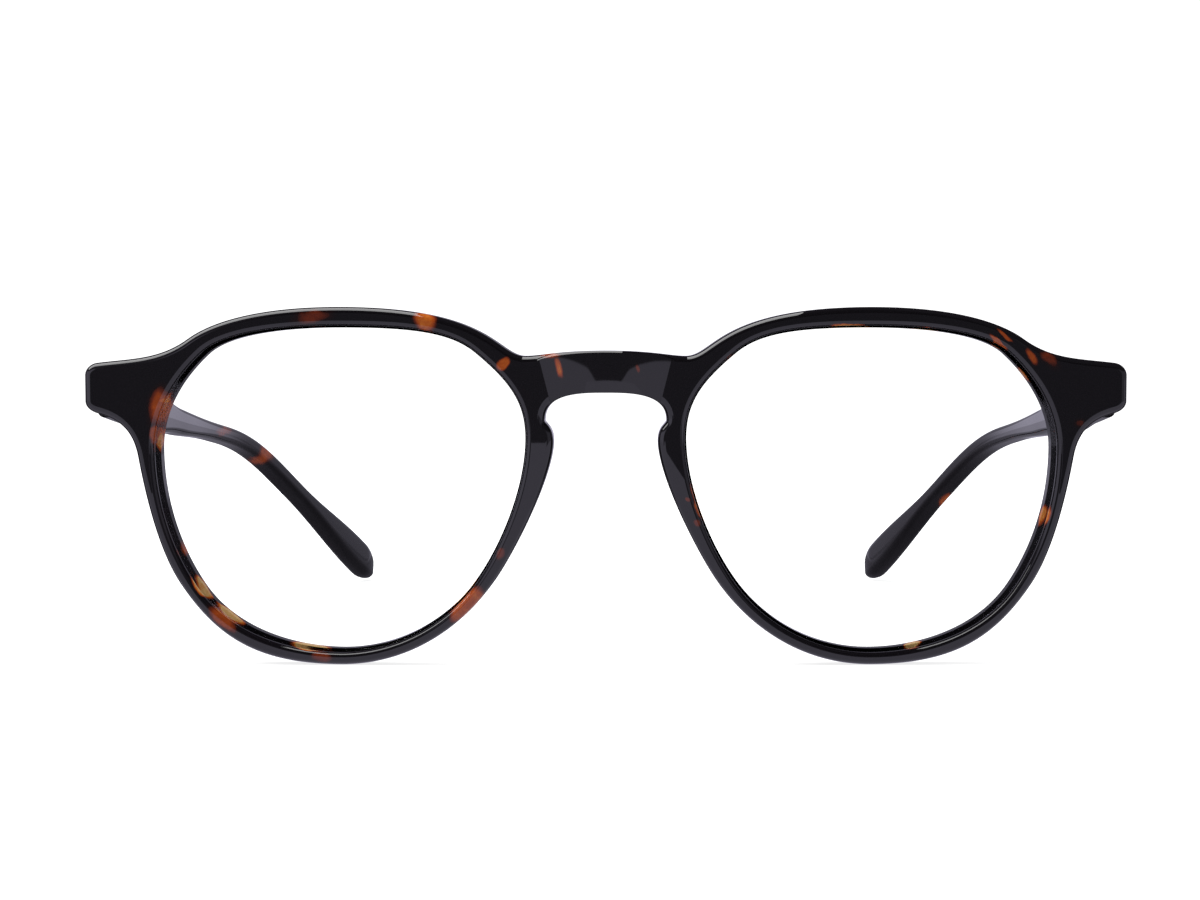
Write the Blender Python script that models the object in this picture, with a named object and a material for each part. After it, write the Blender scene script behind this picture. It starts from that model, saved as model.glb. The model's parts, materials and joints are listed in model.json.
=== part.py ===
"""An acetate eyeglass frame: one-piece front with keyhole bridge, glued nose pads, plain lenses,
five-barrel hinges with their screws, and two temples with wire cores.

Metres, Z up. The open frame stands on a table as it does when it is put down, on the lower edges
of its rims and the tips of its temples. The front looks along -Y and the temples run back along
+Y. Left and right are those of somebody who looks at the front, so left is -X.
"""
import math

import bmesh
import bpy
from mathutils import Matrix, Vector

# Lenses, measured at the tip of their bevel
LENS_WIDTH = 0.0510
LENS_HEIGHT = 0.0447
BRIDGE_WIDTH = 0.0200
LENS_EDGE_THICKNESS = 0.0011
LENS_BEVEL = 0.00045
LENS_DOME = 0.0015
LENS_SEAT_CLEARANCE = 0.0003

# Front: one plate of acetate, bent a little round the face
FRONT_THICKNESS = 0.0045
FRONT_WRAP_RADIUS = 0.756
RIM_TOP = 0.00195
RIM_SIDE = 0.00185
RIM_BOTTOM = 0.00115
OUTER_ROUNDING = 0.0008
BACK_ROUNDING = 0.0006
INNER_ROUNDING = 0.00065
BACK_BEVEL = 0.00045
FRONT_LIP = 0.0005
BACK_LIP = 0.0008
GROOVE_START = 0.0009
GROOVE_WIDTH = 0.0017
GROOVE_SLOPE = 0.00035

# Bridge and keyhole, heights counted from the lenses' centre line
KEYHOLE_TOP = 0.0129
KEYHOLE_WAIST = 0.0093
KEYHOLE_WIDTH = 0.0162
NOSE_GAP = 0.0139
NOSE_PINCH = 0.0065
BRIDGE_HEIGHT = 0.0056
BROW_DIP_HALF = 0.0107
BROW_DIP_DROP = 0.0007
HOLLOW_HEIGHT = 0.0151
HOLLOW_HALF_WIDTH = 0.0082
HOLLOW_FLARE = 0.0025
HOLLOW_DEPTH = 0.0008
HOLLOW_EDGE_DEPTH = 0.00022
HOLLOW_LEAN = 0.00026
HOLLOW_SIDE_LEAN = 0.00028
HOLLOW_RISE = 0.0100

# End pieces, which carry the hinges
END_REACH = 0.0090
END_HEIGHT = 0.0068
END_RISE = 0.01345
END_CORNER = 0.0017

# Nose pads, glued behind the nose edges of the rims
PAD_WIDTH = 0.0020
PAD_DEPTH = 0.0040
PAD_INSET = 0.0005
PAD_END_DEPTH = 0.0005
PAD_SPLAY = 0.0006

# Hinges
BARREL_RADIUS = 0.0014
HINGE_HEIGHT = 0.0048
KNUCKLE_GAP = 0.00015
SCREW_RADIUS = 0.0006
SCREW_CLEARANCE = 0.0001
SCREW_HEAD_RADIUS = 0.0010
SCREW_HEAD_HEIGHT = 0.0005
SCREW_SLOT = 0.00025
LEAF_THICKNESS = 0.0008
LEAF_HEIGHT = 0.0050
FRONT_LEAF_WIDTH = 0.0046
TEMPLE_LEAF_LENGTH = 0.0098
LEAF_LEAD = 0.0008
WEB_WIDTH = 0.0016
ANCHOR_RADIUS = 0.0005
ANCHOR_DEPTH = 0.0013
ANCHOR_SPACING = 0.0024

# Temples, with their lengths counted along the bend from the hinge's axis
TEMPLE_LENGTH = 0.1450
TEMPLE_STRAIGHT = 0.0680
TEMPLE_THICKNESS = 0.0040
TEMPLE_WAIST_THICKNESS = 0.0036
TEMPLE_BUTT_HEIGHT = 0.0070
TEMPLE_WAIST_HEIGHT = 0.0028
TEMPLE_TIP_HEIGHT = 0.0066
TEMPLE_CORNER = 0.0009
TEMPLE_SET_BACK = 0.0004
TEMPLE_DROP = 0.0007
BEND_LENGTH = 0.0350
TIP_ROUNDING = 0.0042
CORE_HEIGHT = 0.0013
CORE_THICKNESS = 0.0009
CORE_OFFSET = 0.0003
CORE_STOP = 0.0120

# Gaps and overruns
GAP = 0.0003
OVERRUN = 0.0010
FACE_OVERRUN = 0.0002
POINT_SPACING = 0.0025
MERGE_DISTANCE = 0.00001

# Angles in degrees
AXIS_LEAN = 2.5
PANTOSCOPIC_ANGLE = 7.5
TIP_BEND = 21.0
TIP_TOE_IN = 15.0
POINT_TURN = 13.0

# Outlines as anchors: across and up as shares, heading in degrees, and the handles before and
# after the anchor as shares of the straight distance to the neighbouring anchor
LENS_OUTLINE_SHARES = (
    (0.000, 1.000, 0.0, 0.51, 0.40),
    (0.735, 0.835, -42.0, 0.22, 0.37),
    (1.000, 0.240, -90.0, 0.34, 0.35),
    (0.780, -0.600, -124.0, 0.33, 0.35),
    (0.000, -1.000, 180.0, 0.34, 0.33),
    (-0.712, -0.600, 127.5, 0.36, 0.30),
    (-1.000, 0.307, 90.0, 0.31, 0.36),
    (-0.726, 0.842, 39.5, 0.45, 0.24),
)
SHOULDER_SHARES = (0.800, 0.897)
SIDE_RISE_SHARE = 0.19
LOWER_SIDE_SHARES = (0.794, -0.545)
LOWER_NOSE_SHARES = (-0.754, -0.521)

# Where the temple's height changes, as shares of its length
WAIST_SHARES = (0.05, 0.27)
PADDLE_SHARES = (0.74, 0.945)
# How much rounder the temple's corners get at the tip, and how much of a section they may take
TIP_CORNER_SHARE = 0.7
CORNER_LIMIT_SHARE = 0.98
CORE_CORNER_SHARE = 0.2
# The webs are a little lower than the knuckles they carry
WEB_HEIGHT_SHARE = 0.98
TOE_IN_SHARES = (0.30, 0.73)
# Where the nose pad lies along the nose edge, and the sections that shape it
PAD_SPAN_SHARES = (0.25, 1.0)
PAD_SECTION_SHARES = ((0.0, 0.0), (1.0, 0.0), (1.0, 0.45), (0.80, 0.85), (0.50, 1.0), (0.15, 0.70))
PAD_STATIONS = 12
PAD_END_WIDTH_SHARE = 0.55
PAD_SWELL_POWER = 0.7
ROUNDING_STEPS = 3
# The lens's face from its edge to its middle
LENS_RING_SHARES = (1.0, 0.82, 0.52, 0.22)
PATH_STEPS = 290

LENS_HALF_WIDTH = LENS_WIDTH / 2
LENS_HALF_HEIGHT = LENS_HEIGHT / 2
LENS_X = (LENS_WIDTH + BRIDGE_WIDTH) / 2
LENS_Z = LENS_HALF_HEIGHT + RIM_BOTTOM
RIM_HALF_WIDTH = LENS_HALF_WIDTH + RIM_SIDE
FRONT_HALF = LENS_X + LENS_HALF_WIDTH + END_REACH
END_Z = LENS_Z + END_RISE
HOLLOW_Z = LENS_Z + HOLLOW_HEIGHT


def remove_everything():
    for old in list(bpy.data.objects):
        bpy.data.objects.remove(old, do_unlink=True)


def make_collection(name):
    collection = bpy.data.collections.new(name)
    bpy.context.scene.collection.children.link(collection)
    return collection


def make_material(name, colour, roughness, metallic=0.0, transmission=0.0):
    material = bpy.data.materials.new(name)
    material.use_nodes = True
    shader = material.node_tree.nodes["Principled BSDF"]
    shader.inputs["Base Color"].default_value = (*colour, 1.0)
    shader.inputs["Roughness"].default_value = roughness
    shader.inputs["Metallic"].default_value = metallic
    shader.inputs["Transmission Weight"].default_value = transmission
    return material


def make_object(name, bm, collection, material=None, parent=None, smooth_angle=35.0):
    """Turn a bmesh into a named object, faces outwards and smooth but for its real edges."""
    bmesh.ops.recalc_face_normals(bm, faces=bm.faces)
    mesh = bpy.data.meshes.new(name)
    bm.to_mesh(mesh)
    bm.free()
    mesh.shade_smooth()
    mesh.set_sharp_from_angle(angle=math.radians(smooth_angle))
    if material:
        mesh.materials.append(material)
    made = bpy.data.objects.new(name, mesh)
    made.parent = parent
    collection.objects.link(made)
    return made


def combine(target, tool, operation):
    """Cut the tool out of the target, or join it on, and throw the tool away."""
    modifier = target.modifiers.new(operation.lower(), "BOOLEAN")
    modifier.operation = operation
    modifier.solver = "EXACT"
    modifier.object = tool
    graph = bpy.context.evaluated_depsgraph_get()
    mesh = bpy.data.meshes.new_from_object(target.evaluated_get(graph))
    target.modifiers.clear()
    target.data = mesh
    bpy.data.objects.remove(tool, do_unlink=True)


def smooth_step(value, start, end):
    share = min(max((value - start) / (end - start), 0.0), 1.0)
    return share * share * (3 - 2 * share)


# Outlines


def heading_vector(degrees):
    return Vector((math.cos(math.radians(degrees)), math.sin(math.radians(degrees))))


def smooth_outline(anchors, closed=True):
    """Points along the curve through anchors of (point, heading, handle before, handle after)."""
    points = []
    pairs = list(zip(anchors, anchors[1:] + anchors[:1]))
    for here, there in pairs if closed else pairs[:-1]:
        start, end = Vector(here[0]), Vector(there[0])
        chord = (end - start).length
        leaving, arriving = heading_vector(here[1]), heading_vector(there[1])
        first = start + leaving * here[3] * chord
        last = end - arriving * there[2] * chord
        turn = math.degrees(leaving.angle(end - start) + arriving.angle(end - start))
        count = max(math.ceil(chord / POINT_SPACING), math.ceil(turn / POINT_TURN))
        for step in range(count):
            t = step / count
            point = (start * (1 - t) ** 3 + first * 3 * t * (1 - t) ** 2
                     + last * 3 * t * t * (1 - t) + end * t ** 3)
            points.append(point)
    if not closed:
        points.append(Vector(anchors[-1][0]))
    return points


def grown(points, distance):
    """A closed clockwise outline moved outwards by a distance, or inwards by a negative one."""
    moved = []
    for before, here, after in zip(points[-1:] + points[:-1], points, points[1:] + points[:1]):
        one, two = (here - before).normalized(), (after - here).normalized()
        normal = Vector((-one.y - two.y, one.x + two.x)).normalized()
        corner = max(normal.dot(Vector((-one.y, one.x))), 0.5)
        moved.append(here + normal * distance / corner)
    return moved


def mirrored_outline(half):
    """The whole outline from its half at +X, whose first and last points lie on the middle."""
    return half + [Vector((-p.x, p.y)) for p in reversed(half[1:-1])]


def lens_outline(clearance=0.0):
    """The right lens's edge at the tip of its bevel, clockwise from the top."""
    anchors = []
    for across, up, heading, before, after in LENS_OUTLINE_SHARES:
        point = (LENS_X + across * LENS_HALF_WIDTH, LENS_Z + up * LENS_HALF_HEIGHT)
        anchors.append((point, heading, before, after))
    return grown(smooth_outline(anchors), -clearance)


def nose_anchors():
    """The nose edge of the right rim, from low on the rim up to the pinch above the pad."""
    lower_half_height = LENS_HALF_HEIGHT + RIM_BOTTOM
    low = (LENS_X + LOWER_NOSE_SHARES[0] * RIM_HALF_WIDTH, LENS_Z + LOWER_NOSE_SHARES[1] * lower_half_height)
    return [(low, 125.0, 0.36, 0.22), ((NOSE_GAP / 2, LENS_Z + NOSE_PINCH), 90.0, 0.23, 0.67)]


def front_outline():
    """The front's outline, clockwise from the middle of the bridge's top edge."""
    lower_half_height = LENS_HALF_HEIGHT + RIM_BOTTOM
    arch_top = LENS_Z + KEYHOLE_TOP
    bridge_top = arch_top + BRIDGE_HEIGHT
    end_top, end_base = END_Z + END_HEIGHT / 2, END_Z - END_HEIGHT / 2
    shoulder = (LENS_X + SHOULDER_SHARES[0] * LENS_HALF_WIDTH, LENS_Z + SHOULDER_SHARES[1] * LENS_HALF_HEIGHT)
    side = (LENS_X + RIM_HALF_WIDTH, LENS_Z + SIDE_RISE_SHARE * LENS_HALF_HEIGHT)
    low_side = (LENS_X + LOWER_SIDE_SHARES[0] * RIM_HALF_WIDTH, LENS_Z + LOWER_SIDE_SHARES[1] * lower_half_height)
    half = [
        ((0.0, bridge_top), 0.0, 0.0, 0.60),
        ((BROW_DIP_HALF, bridge_top - BROW_DIP_DROP), 0.0, 0.20, 0.15),
        ((LENS_X, LENS_Z + LENS_HALF_HEIGHT + RIM_TOP), 0.0, 0.80, 0.55),
        (shoulder, -35.5, 0.17, 0.37),
        ((FRONT_HALF - END_CORNER, end_top), -7.0, 0.37, 0.38),
        ((FRONT_HALF, end_top - END_CORNER), -90.0, 0.38, 0.33),
        ((FRONT_HALF, end_base + END_CORNER), -90.0, 0.33, 0.38),
        ((FRONT_HALF - END_CORNER, end_base), -165.0, 0.38, 0.33),
        (side, -100.0, 0.50, 0.31),
        (low_side, -124.0, 0.29, 0.38),
        ((LENS_X, 0.0), 180.0, 0.45, 0.36),
        *nose_anchors(),
        ((KEYHOLE_WIDTH / 2, LENS_Z + KEYHOLE_WAIST), 90.0, 0.20, 0.41),
        ((0.0, arch_top), 180.0, 0.35, 0.0),
    ]
    return mirrored_outline(smooth_outline(half, closed=False))


# Solids


def loft(rings):
    """A closed solid through rings of equally many points, flat at both ends."""
    bm = bmesh.new()
    rows = [[bm.verts.new(point) for point in ring] for ring in rings]
    for row, following in zip(rows, rows[1:]):
        for index in range(len(row)):
            after = (index + 1) % len(row)
            bm.faces.new((row[index], row[after], following[after], following[index]))
    bm.faces.new(rows[0])
    bm.faces.new(rows[-1])
    return bm


def box(size, centre, turn=Matrix()):
    bm = bmesh.new()
    bmesh.ops.create_cube(bm, size=1.0, matrix=turn @ Matrix.Translation(centre) @ Matrix.Diagonal((*size, 1.0)))
    return bm


def cylinder(radius, height, centre, sides=18, turn=Matrix()):
    """A cylinder that stands along Z before it is turned."""
    bm = bmesh.new()
    bmesh.ops.create_cone(bm, cap_ends=True, segments=sides, radius1=radius, radius2=radius, depth=height,
                          matrix=turn @ Matrix.Translation(centre))
    return bm


def sections(outline, steps):
    """Rings of an outline at (depth, growth) steps, in the flat front's space: X, depth and Z."""
    return [[(p.x, depth, p.y) for p in grown(outline, growth)] for depth, growth in steps]


def bend(mesh):
    """Bend a flat piece of the front round the face."""
    for vertex in mesh.vertices:
        vertex.co = wrapped(*vertex.co)


def wrapped(across, depth, up):
    angle = across / FRONT_WRAP_RADIUS
    radius = FRONT_WRAP_RADIUS - depth
    return Vector((radius * math.sin(angle), FRONT_WRAP_RADIUS - radius * math.cos(angle), up))


def mirror(bm):
    bmesh.ops.scale(bm, vec=(-1, 1, 1), verts=bm.verts)
    bmesh.ops.reverse_faces(bm, faces=bm.faces)
    return bm


def sided(bm, side):
    return bm if side > 0 else mirror(bm)


# Front


def rounded_steps(radius, count):
    """A rounded edge from the face inwards, as steps of (depth, how far the hole is still wider)."""
    angles = [math.pi / 2 * (1 - step / count) for step in range(count + 1)]
    return [(radius * (1 - math.sin(angle)), radius * (1 - math.cos(angle))) for angle in angles]


def lens_opening():
    """The space that a lens and its groove leave in the front, through its whole thickness."""
    back = FRONT_THICKNESS
    steps = rounded_steps(INNER_ROUNDING, ROUNDING_STEPS)
    (depth, growth), (next_depth, next_growth) = steps[0], steps[1]
    flare = (growth - next_growth) / (next_depth - depth)
    front = [(-FACE_OVERRUN, growth + FACE_OVERRUN * flare)] + steps[1:]
    return loft(sections(lens_outline(), [(depth, growth - FRONT_LIP) for depth, growth in front] + [
        (GROOVE_START, -FRONT_LIP),
        (GROOVE_START + GROOVE_SLOPE, 0.0),
        (GROOVE_START + GROOVE_WIDTH - GROOVE_SLOPE, 0.0),
        (GROOVE_START + GROOVE_WIDTH, -BACK_LIP),
        (back - BACK_BEVEL, -BACK_LIP),
        (back + OVERRUN, OVERRUN + BACK_BEVEL - BACK_LIP),
    ]))


def bridge_hollow(steps):
    """The shallow hollow in the bridge: wider towards the brow, and turned a little downwards."""
    rings = []
    for level in (-1, 1):
        half_width = HOLLOW_HALF_WIDTH + level * HOLLOW_FLARE
        ring = [(-half_width, -OVERRUN), (half_width, -OVERRUN)]
        for step in range(steps + 1):
            across = 1 - 2 * step / steps
            side = across * across
            depth = HOLLOW_DEPTH + (HOLLOW_EDGE_DEPTH - HOLLOW_DEPTH) * side
            depth -= level * (HOLLOW_LEAN + HOLLOW_SIDE_LEAN * side)
            ring.append((half_width * across, depth))
        rings.append([(x, y, HOLLOW_Z + level * HOLLOW_RISE) for x, y in ring])
    return loft(rings)


def make_front(collection, cutters, material, parent):
    rounding = [(depth, -growth) for depth, growth in rounded_steps(OUTER_ROUNDING, ROUNDING_STEPS)]
    back = [(FRONT_THICKNESS - depth, -growth)
            for depth, growth in reversed(rounded_steps(BACK_ROUNDING, ROUNDING_STEPS))]
    plate = loft(sections(front_outline(), rounding + back))
    front = make_object("front_frame", plate, collection, material, parent)
    for side in (1, -1):
        combine(front, make_object("cutter", sided(lens_opening(), side), cutters), "DIFFERENCE")
        for pocket in front_leaf_shapes(side, GAP):
            combine(front, make_object("cutter", pocket, cutters), "DIFFERENCE")
    combine(front, make_object("cutter", bridge_hollow(14), cutters), "DIFFERENCE")
    bm = bmesh.new()
    bm.from_mesh(front.data)
    bmesh.ops.remove_doubles(bm, verts=bm.verts, dist=MERGE_DISTANCE)
    bmesh.ops.dissolve_degenerate(bm, dist=MERGE_DISTANCE, edges=bm.edges)
    bmesh.ops.triangulate(bm, faces=bm.faces)
    bm.to_mesh(front.data)
    bm.free()
    bend(front.data)
    front.data.shade_smooth()
    front.data.set_sharp_from_angle(angle=math.radians(35))
    return front


def make_lens(name, side, collection, material, parent):
    """A plain lens, domed forwards, with the bevel that sits in the rim's groove."""
    tip_depth = GROOVE_START + GROOVE_WIDTH / 2
    front_depth = tip_depth - LENS_EDGE_THICKNESS / 2
    edge = lens_outline(LENS_SEAT_CLEARANCE)
    body = grown(edge, -LENS_BEVEL)

    def domed(share, depth):
        """One ring of a face, at a share of the way from the middle to the edge."""
        ring = []
        for point in body:
            offset = (point - Vector((LENS_X, LENS_Z)))
            place = Vector((LENS_X, LENS_Z)) + offset * share
            rise = LENS_DOME * (1 - share * share)
            ring.append((place.x, depth - rise, place.y))
        return ring

    faces = [domed(share, front_depth) for share in reversed(LENS_RING_SHARES)]
    backs = [domed(share, front_depth + LENS_EDGE_THICKNESS) for share in LENS_RING_SHARES]
    bm = loft(faces + sections(edge, [(tip_depth, 0.0)]) + backs)
    bmesh.ops.triangulate(bm, faces=[face for face in bm.faces if len(face.verts) > 4])
    lens = make_object(name, sided(bm, side), collection, material, parent)
    bend(lens.data)
    return lens


def make_nose_pad(name, side, collection, material, parent):
    """A pad that swells backwards from the nose edge of the rim, with a face that rests on the nose."""
    edge = smooth_outline(nose_anchors(), closed=False)
    first, last = (share * (len(edge) - 1) for share in PAD_SPAN_SHARES)
    base = FRONT_THICKNESS + GAP
    rings = []
    for station in range(PAD_STATIONS + 1):
        share = station / PAD_STATIONS
        place = first + (last - first) * share
        index = min(int(place), len(edge) - 2)
        point = edge[index].lerp(edge[index + 1], place - index)
        along = (edge[index + 1] - edge[index]).normalized()
        inwards = Vector((along.y, -along.x))
        swell = math.sin(math.pi * share) ** PAD_SWELL_POWER
        depth = PAD_END_DEPTH + (PAD_DEPTH - PAD_END_DEPTH) * swell
        width = PAD_WIDTH * (PAD_END_WIDTH_SHARE + (1 - PAD_END_WIDTH_SHARE) * swell)
        ring = []
        for across, back in PAD_SECTION_SHARES:
            spot = point + inwards * (PAD_INSET + across * width + back * PAD_SPLAY * swell)
            ring.append((spot.x, base + back * depth, spot.y))
        rings.append(ring)
    pad = make_object(name, sided(loft(rings), side), collection, material, parent, smooth_angle=50.0)
    bend(pad.data)
    return pad


# Hinges. Their own space has the axis along Z, the temple's way back along Y and outwards along X.


def end_plate_place():
    """The middle of the front leaf on the flat front: across, depth and up."""
    return Vector((hinge_across(), FRONT_THICKNESS, END_Z))


def hinge_across():
    """Where the hinge's axis crosses the flat front, inside of the temple's inner face."""
    return FRONT_HALF - TEMPLE_SET_BACK - TEMPLE_THICKNESS - GAP - BARREL_RADIUS


def hinge_frame(side):
    """The hinge's axis in the front's space: its place, and its lean towards the temple's square."""
    on_back = wrapped(hinge_across(), FRONT_THICKNESS, END_Z)
    place = on_back + Vector((0.0, BARREL_RADIUS + GAP, 0.0))
    return Matrix.Translation((side * place.x, place.y, place.z)) @ Matrix.Rotation(
        -math.radians(AXIS_LEAN), 4, "X")


def front_leaf_shapes(side, clearance):
    """The front leaf's plate and anchors in the flat front's space, or with a clearance its pockets."""
    middle = end_plate_place()
    top = OVERRUN if clearance else 0.0
    depth = LEAF_THICKNESS + clearance
    size = (FRONT_LEAF_WIDTH + 2 * clearance, depth + top, LEAF_HEIGHT + 2 * clearance)
    plate = box(size, middle + Vector((0.0, (top - depth) / 2, 0.0)))
    shapes = [sided(plate, side)]
    reach = ANCHOR_DEPTH + clearance + LEAF_THICKNESS / 2
    stand = Matrix.Rotation(math.pi / 2, 4, "X")
    for way in (1, -1):
        foot = middle + Vector((way * ANCHOR_SPACING / 2, -depth / 2 - reach / 2, 0.0))
        turn = Matrix.Translation(foot) @ stand
        anchor = cylinder(ANCHOR_RADIUS + clearance, reach, (0.0, 0.0, 0.0), 12, turn)
        shapes.append(sided(anchor, side))
    return shapes


def knuckle_heights(first):
    """The middles of every second knuckle along the axis, from the one given."""
    height = knuckle_height()
    base = -HINGE_HEIGHT / 2 + height / 2
    return [base + index * (height + KNUCKLE_GAP) for index in range(first, 5, 2)]


def knuckle_height():
    return (HINGE_HEIGHT - 4 * KNUCKLE_GAP) / 5


def add_knuckles(leaf, cutters, first, web_size, web_centre):
    """Barrels and the webs that carry them, joined to a leaf in the hinge's own space."""
    for height in knuckle_heights(first):
        barrel = cylinder(BARREL_RADIUS, knuckle_height(), (0.0, 0.0, height))
        combine(leaf, make_object("joined", barrel, cutters), "UNION")
        web = box((*web_size, knuckle_height() * WEB_HEIGHT_SHARE), (*web_centre, height))
        combine(leaf, make_object("joined", web, cutters), "UNION")
    bore = cylinder(SCREW_RADIUS + SCREW_CLEARANCE, HINGE_HEIGHT + 2 * OVERRUN, (0.0, 0.0, 0.0), 14)
    combine(leaf, make_object("cutter", bore, cutters), "DIFFERENCE")


def shifted(mesh, matrix):
    mesh.transform(matrix)
    mesh.update()


def make_front_hinge(name, side, collection, cutters, material, parent):
    """The leaf that is sunk into the back of the end piece, with three of the five knuckles."""
    to_hinge = hinge_frame(side).inverted()
    shapes = front_leaf_shapes(side, 0.0)
    leaf = make_object(name, shapes[0], collection, material)
    for anchor in shapes[1:]:
        combine(leaf, make_object("joined", anchor, cutters), "UNION")
    bend(leaf.data)
    shifted(leaf.data, to_hinge)
    reach = BARREL_RADIUS + GAP + LEAF_THICKNESS / 2
    add_knuckles(leaf, cutters, 0, (WEB_WIDTH, reach), (0.0, -reach / 2))
    leaf.parent = parent
    return leaf


def temple_pitch():
    """How far the temple falls behind a right angle to the hinge's axis."""
    return math.radians(PANTOSCOPIC_ANGLE - AXIS_LEAN)


def temple_turn():
    return Matrix.Rotation(-temple_pitch(), 4, "X")


def inner_face():
    return BARREL_RADIUS + GAP


def temple_leaf_box(clearance):
    """The temple leaf's plate in the temple's inner face, or with a clearance its pocket."""
    inwards = OVERRUN if clearance else 0.0
    start = -LEAF_LEAD - inwards
    length = TEMPLE_LEAF_LENGTH + clearance + inwards
    thickness = LEAF_THICKNESS + clearance
    size = (thickness + inwards, length, LEAF_HEIGHT + 2 * clearance)
    centre = (inner_face() + (thickness - inwards) / 2, start + length / 2, -TEMPLE_DROP)
    return box(size, centre, temple_turn())


def make_temple_hinge(name, side, collection, cutters, material, parent):
    """The leaf that is sunk into the temple's inner face, with two of the five knuckles."""
    leaf = make_object(name, temple_leaf_box(0.0), collection, material)
    reach = inner_face() + LEAF_THICKNESS / 2
    add_knuckles(leaf, cutters, 1, (reach, WEB_WIDTH), (reach / 2, 0.0))
    if side < 0:
        flipped = bmesh.new()
        flipped.from_mesh(leaf.data)
        mirror(flipped).to_mesh(leaf.data)
        flipped.free()
    leaf.parent = parent
    return leaf


def make_screw(name, collection, cutters, material, parent):
    """The screw that is the hinge's pin, with a slotted head above the top knuckle."""
    shaft_top = HINGE_HEIGHT / 2 + SCREW_HEAD_HEIGHT / 2
    shaft_height = HINGE_HEIGHT / 2 + shaft_top
    screw = make_object(name, cylinder(SCREW_RADIUS, shaft_height, (0.0, 0.0, shaft_top - shaft_height / 2), 14),
                        collection, material)
    head_base = HINGE_HEIGHT / 2 + SCREW_CLEARANCE
    head = cylinder(SCREW_HEAD_RADIUS, SCREW_HEAD_HEIGHT, (0.0, 0.0, head_base + SCREW_HEAD_HEIGHT / 2), 18)
    combine(screw, make_object("joined", head, cutters), "UNION")
    slot_depth = SCREW_HEAD_HEIGHT / 2
    slot_top = head_base + SCREW_HEAD_HEIGHT + OVERRUN
    slot = box((3 * SCREW_HEAD_RADIUS, SCREW_SLOT, slot_depth + OVERRUN),
               (0.0, 0.0, slot_top - (slot_depth + OVERRUN) / 2))
    combine(screw, make_object("cutter", slot, cutters), "DIFFERENCE")
    screw.parent = parent
    return screw


# Temples, in the hinge's own space


def temple_path():
    """Places along the middle of the temple's outer plane: (length, point, pitch, toe-in)."""
    step = TEMPLE_LENGTH / PATH_STEPS
    lead = 2 * BARREL_RADIUS + 2 * OVERRUN
    length, point = -lead, Vector((0.0, -lead * math.cos(temple_pitch()), lead * math.sin(temple_pitch())))
    places = []
    while length <= TEMPLE_LENGTH + step / 2:
        bent = smooth_step(length, TEMPLE_STRAIGHT, TEMPLE_STRAIGHT + BEND_LENGTH)
        pitch = temple_pitch() + math.radians(TIP_BEND) * bent
        start, end = (share * TEMPLE_LENGTH for share in TOE_IN_SHARES)
        toe_in = math.radians(TIP_TOE_IN) * smooth_step(length, start, end)
        places.append((length, point.copy(), pitch, toe_in))
        point += step * Vector((-math.sin(toe_in), math.cos(toe_in) * math.cos(pitch), -math.sin(pitch)))
        length += step
    return places


def path_at(places, length):
    """The path's place at a length, between the two places around it."""
    step = places[1][0] - places[0][0]
    index = min(max(int((length - places[0][0]) / step), 0), len(places) - 2)
    here, there = places[index], places[index + 1]
    share = (length - here[0]) / step
    pitch = here[2] + (there[2] - here[2]) * share
    toe_in = here[3] + (there[3] - here[3]) * share
    return length, here[1].lerp(there[1], share), pitch, toe_in


def across_frame(place):
    """Unit vectors outwards and up across the temple at a place of its path."""
    pitch, toe_in = place[2], place[3]
    along = Vector((-math.sin(toe_in), math.cos(toe_in) * math.cos(pitch), -math.cos(toe_in) * math.sin(pitch)))
    outwards = Vector((math.cos(toe_in), math.sin(toe_in) * math.cos(pitch), -math.sin(toe_in) * math.sin(pitch)))
    return outwards, outwards.cross(along)


def temple_height(length):
    share = length / TEMPLE_LENGTH
    height = TEMPLE_BUTT_HEIGHT + (TEMPLE_WAIST_HEIGHT - TEMPLE_BUTT_HEIGHT) * smooth_step(share, *WAIST_SHARES)
    return height + (TEMPLE_TIP_HEIGHT - TEMPLE_WAIST_HEIGHT) * smooth_step(share, *PADDLE_SHARES)


def temple_thickness(length):
    return TEMPLE_THICKNESS + (TEMPLE_WAIST_THICKNESS - TEMPLE_THICKNESS) * smooth_step(
        length / TEMPLE_LENGTH, *WAIST_SHARES)


def end_scale(length):
    """How much of its size the temple keeps as its end rounds off."""
    into = max(length - (TEMPLE_LENGTH - TIP_ROUNDING), 0.0) / TIP_ROUNDING
    return math.sqrt(max(1.0 - into * into, 0.0))


def rounded_rectangle(inner, outer, half_height, corner, corner_points=3):
    """Points of a section: outwards runs from inner to outer, clockwise from the top outer corner."""
    points = []
    for turn, across, up in ((90, outer - corner, half_height - corner), (0, outer - corner, corner - half_height),
                             (-90, inner + corner, corner - half_height), (-180, inner + corner, half_height - corner)):
        for step in range(corner_points):
            angle = math.radians(turn - 90 * step / (corner_points - 1))
            points.append((across + corner * math.cos(angle), up + corner * math.sin(angle)))
    return points


def temple_ring(place, inner, outer, half_height, corner):
    outwards, up = across_frame(place)
    middle = place[1] + Vector((inner_face() + TEMPLE_THICKNESS / 2, 0.0, -TEMPLE_DROP))
    return [middle + outwards * x + up * z for x, z in rounded_rectangle(inner, outer, half_height, corner)]


def temple_lengths(start, end):
    """Lengths where the temple has a section: sparse where it is straight, closer where it bends."""
    lengths = [start]
    while lengths[-1] < end:
        here = lengths[-1]
        spacing = 2 * POINT_SPACING if here < TEMPLE_LENGTH * TOE_IN_SHARES[0] else 1.6 * POINT_SPACING
        lengths.append(min(here + spacing, end))
    return lengths


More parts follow.
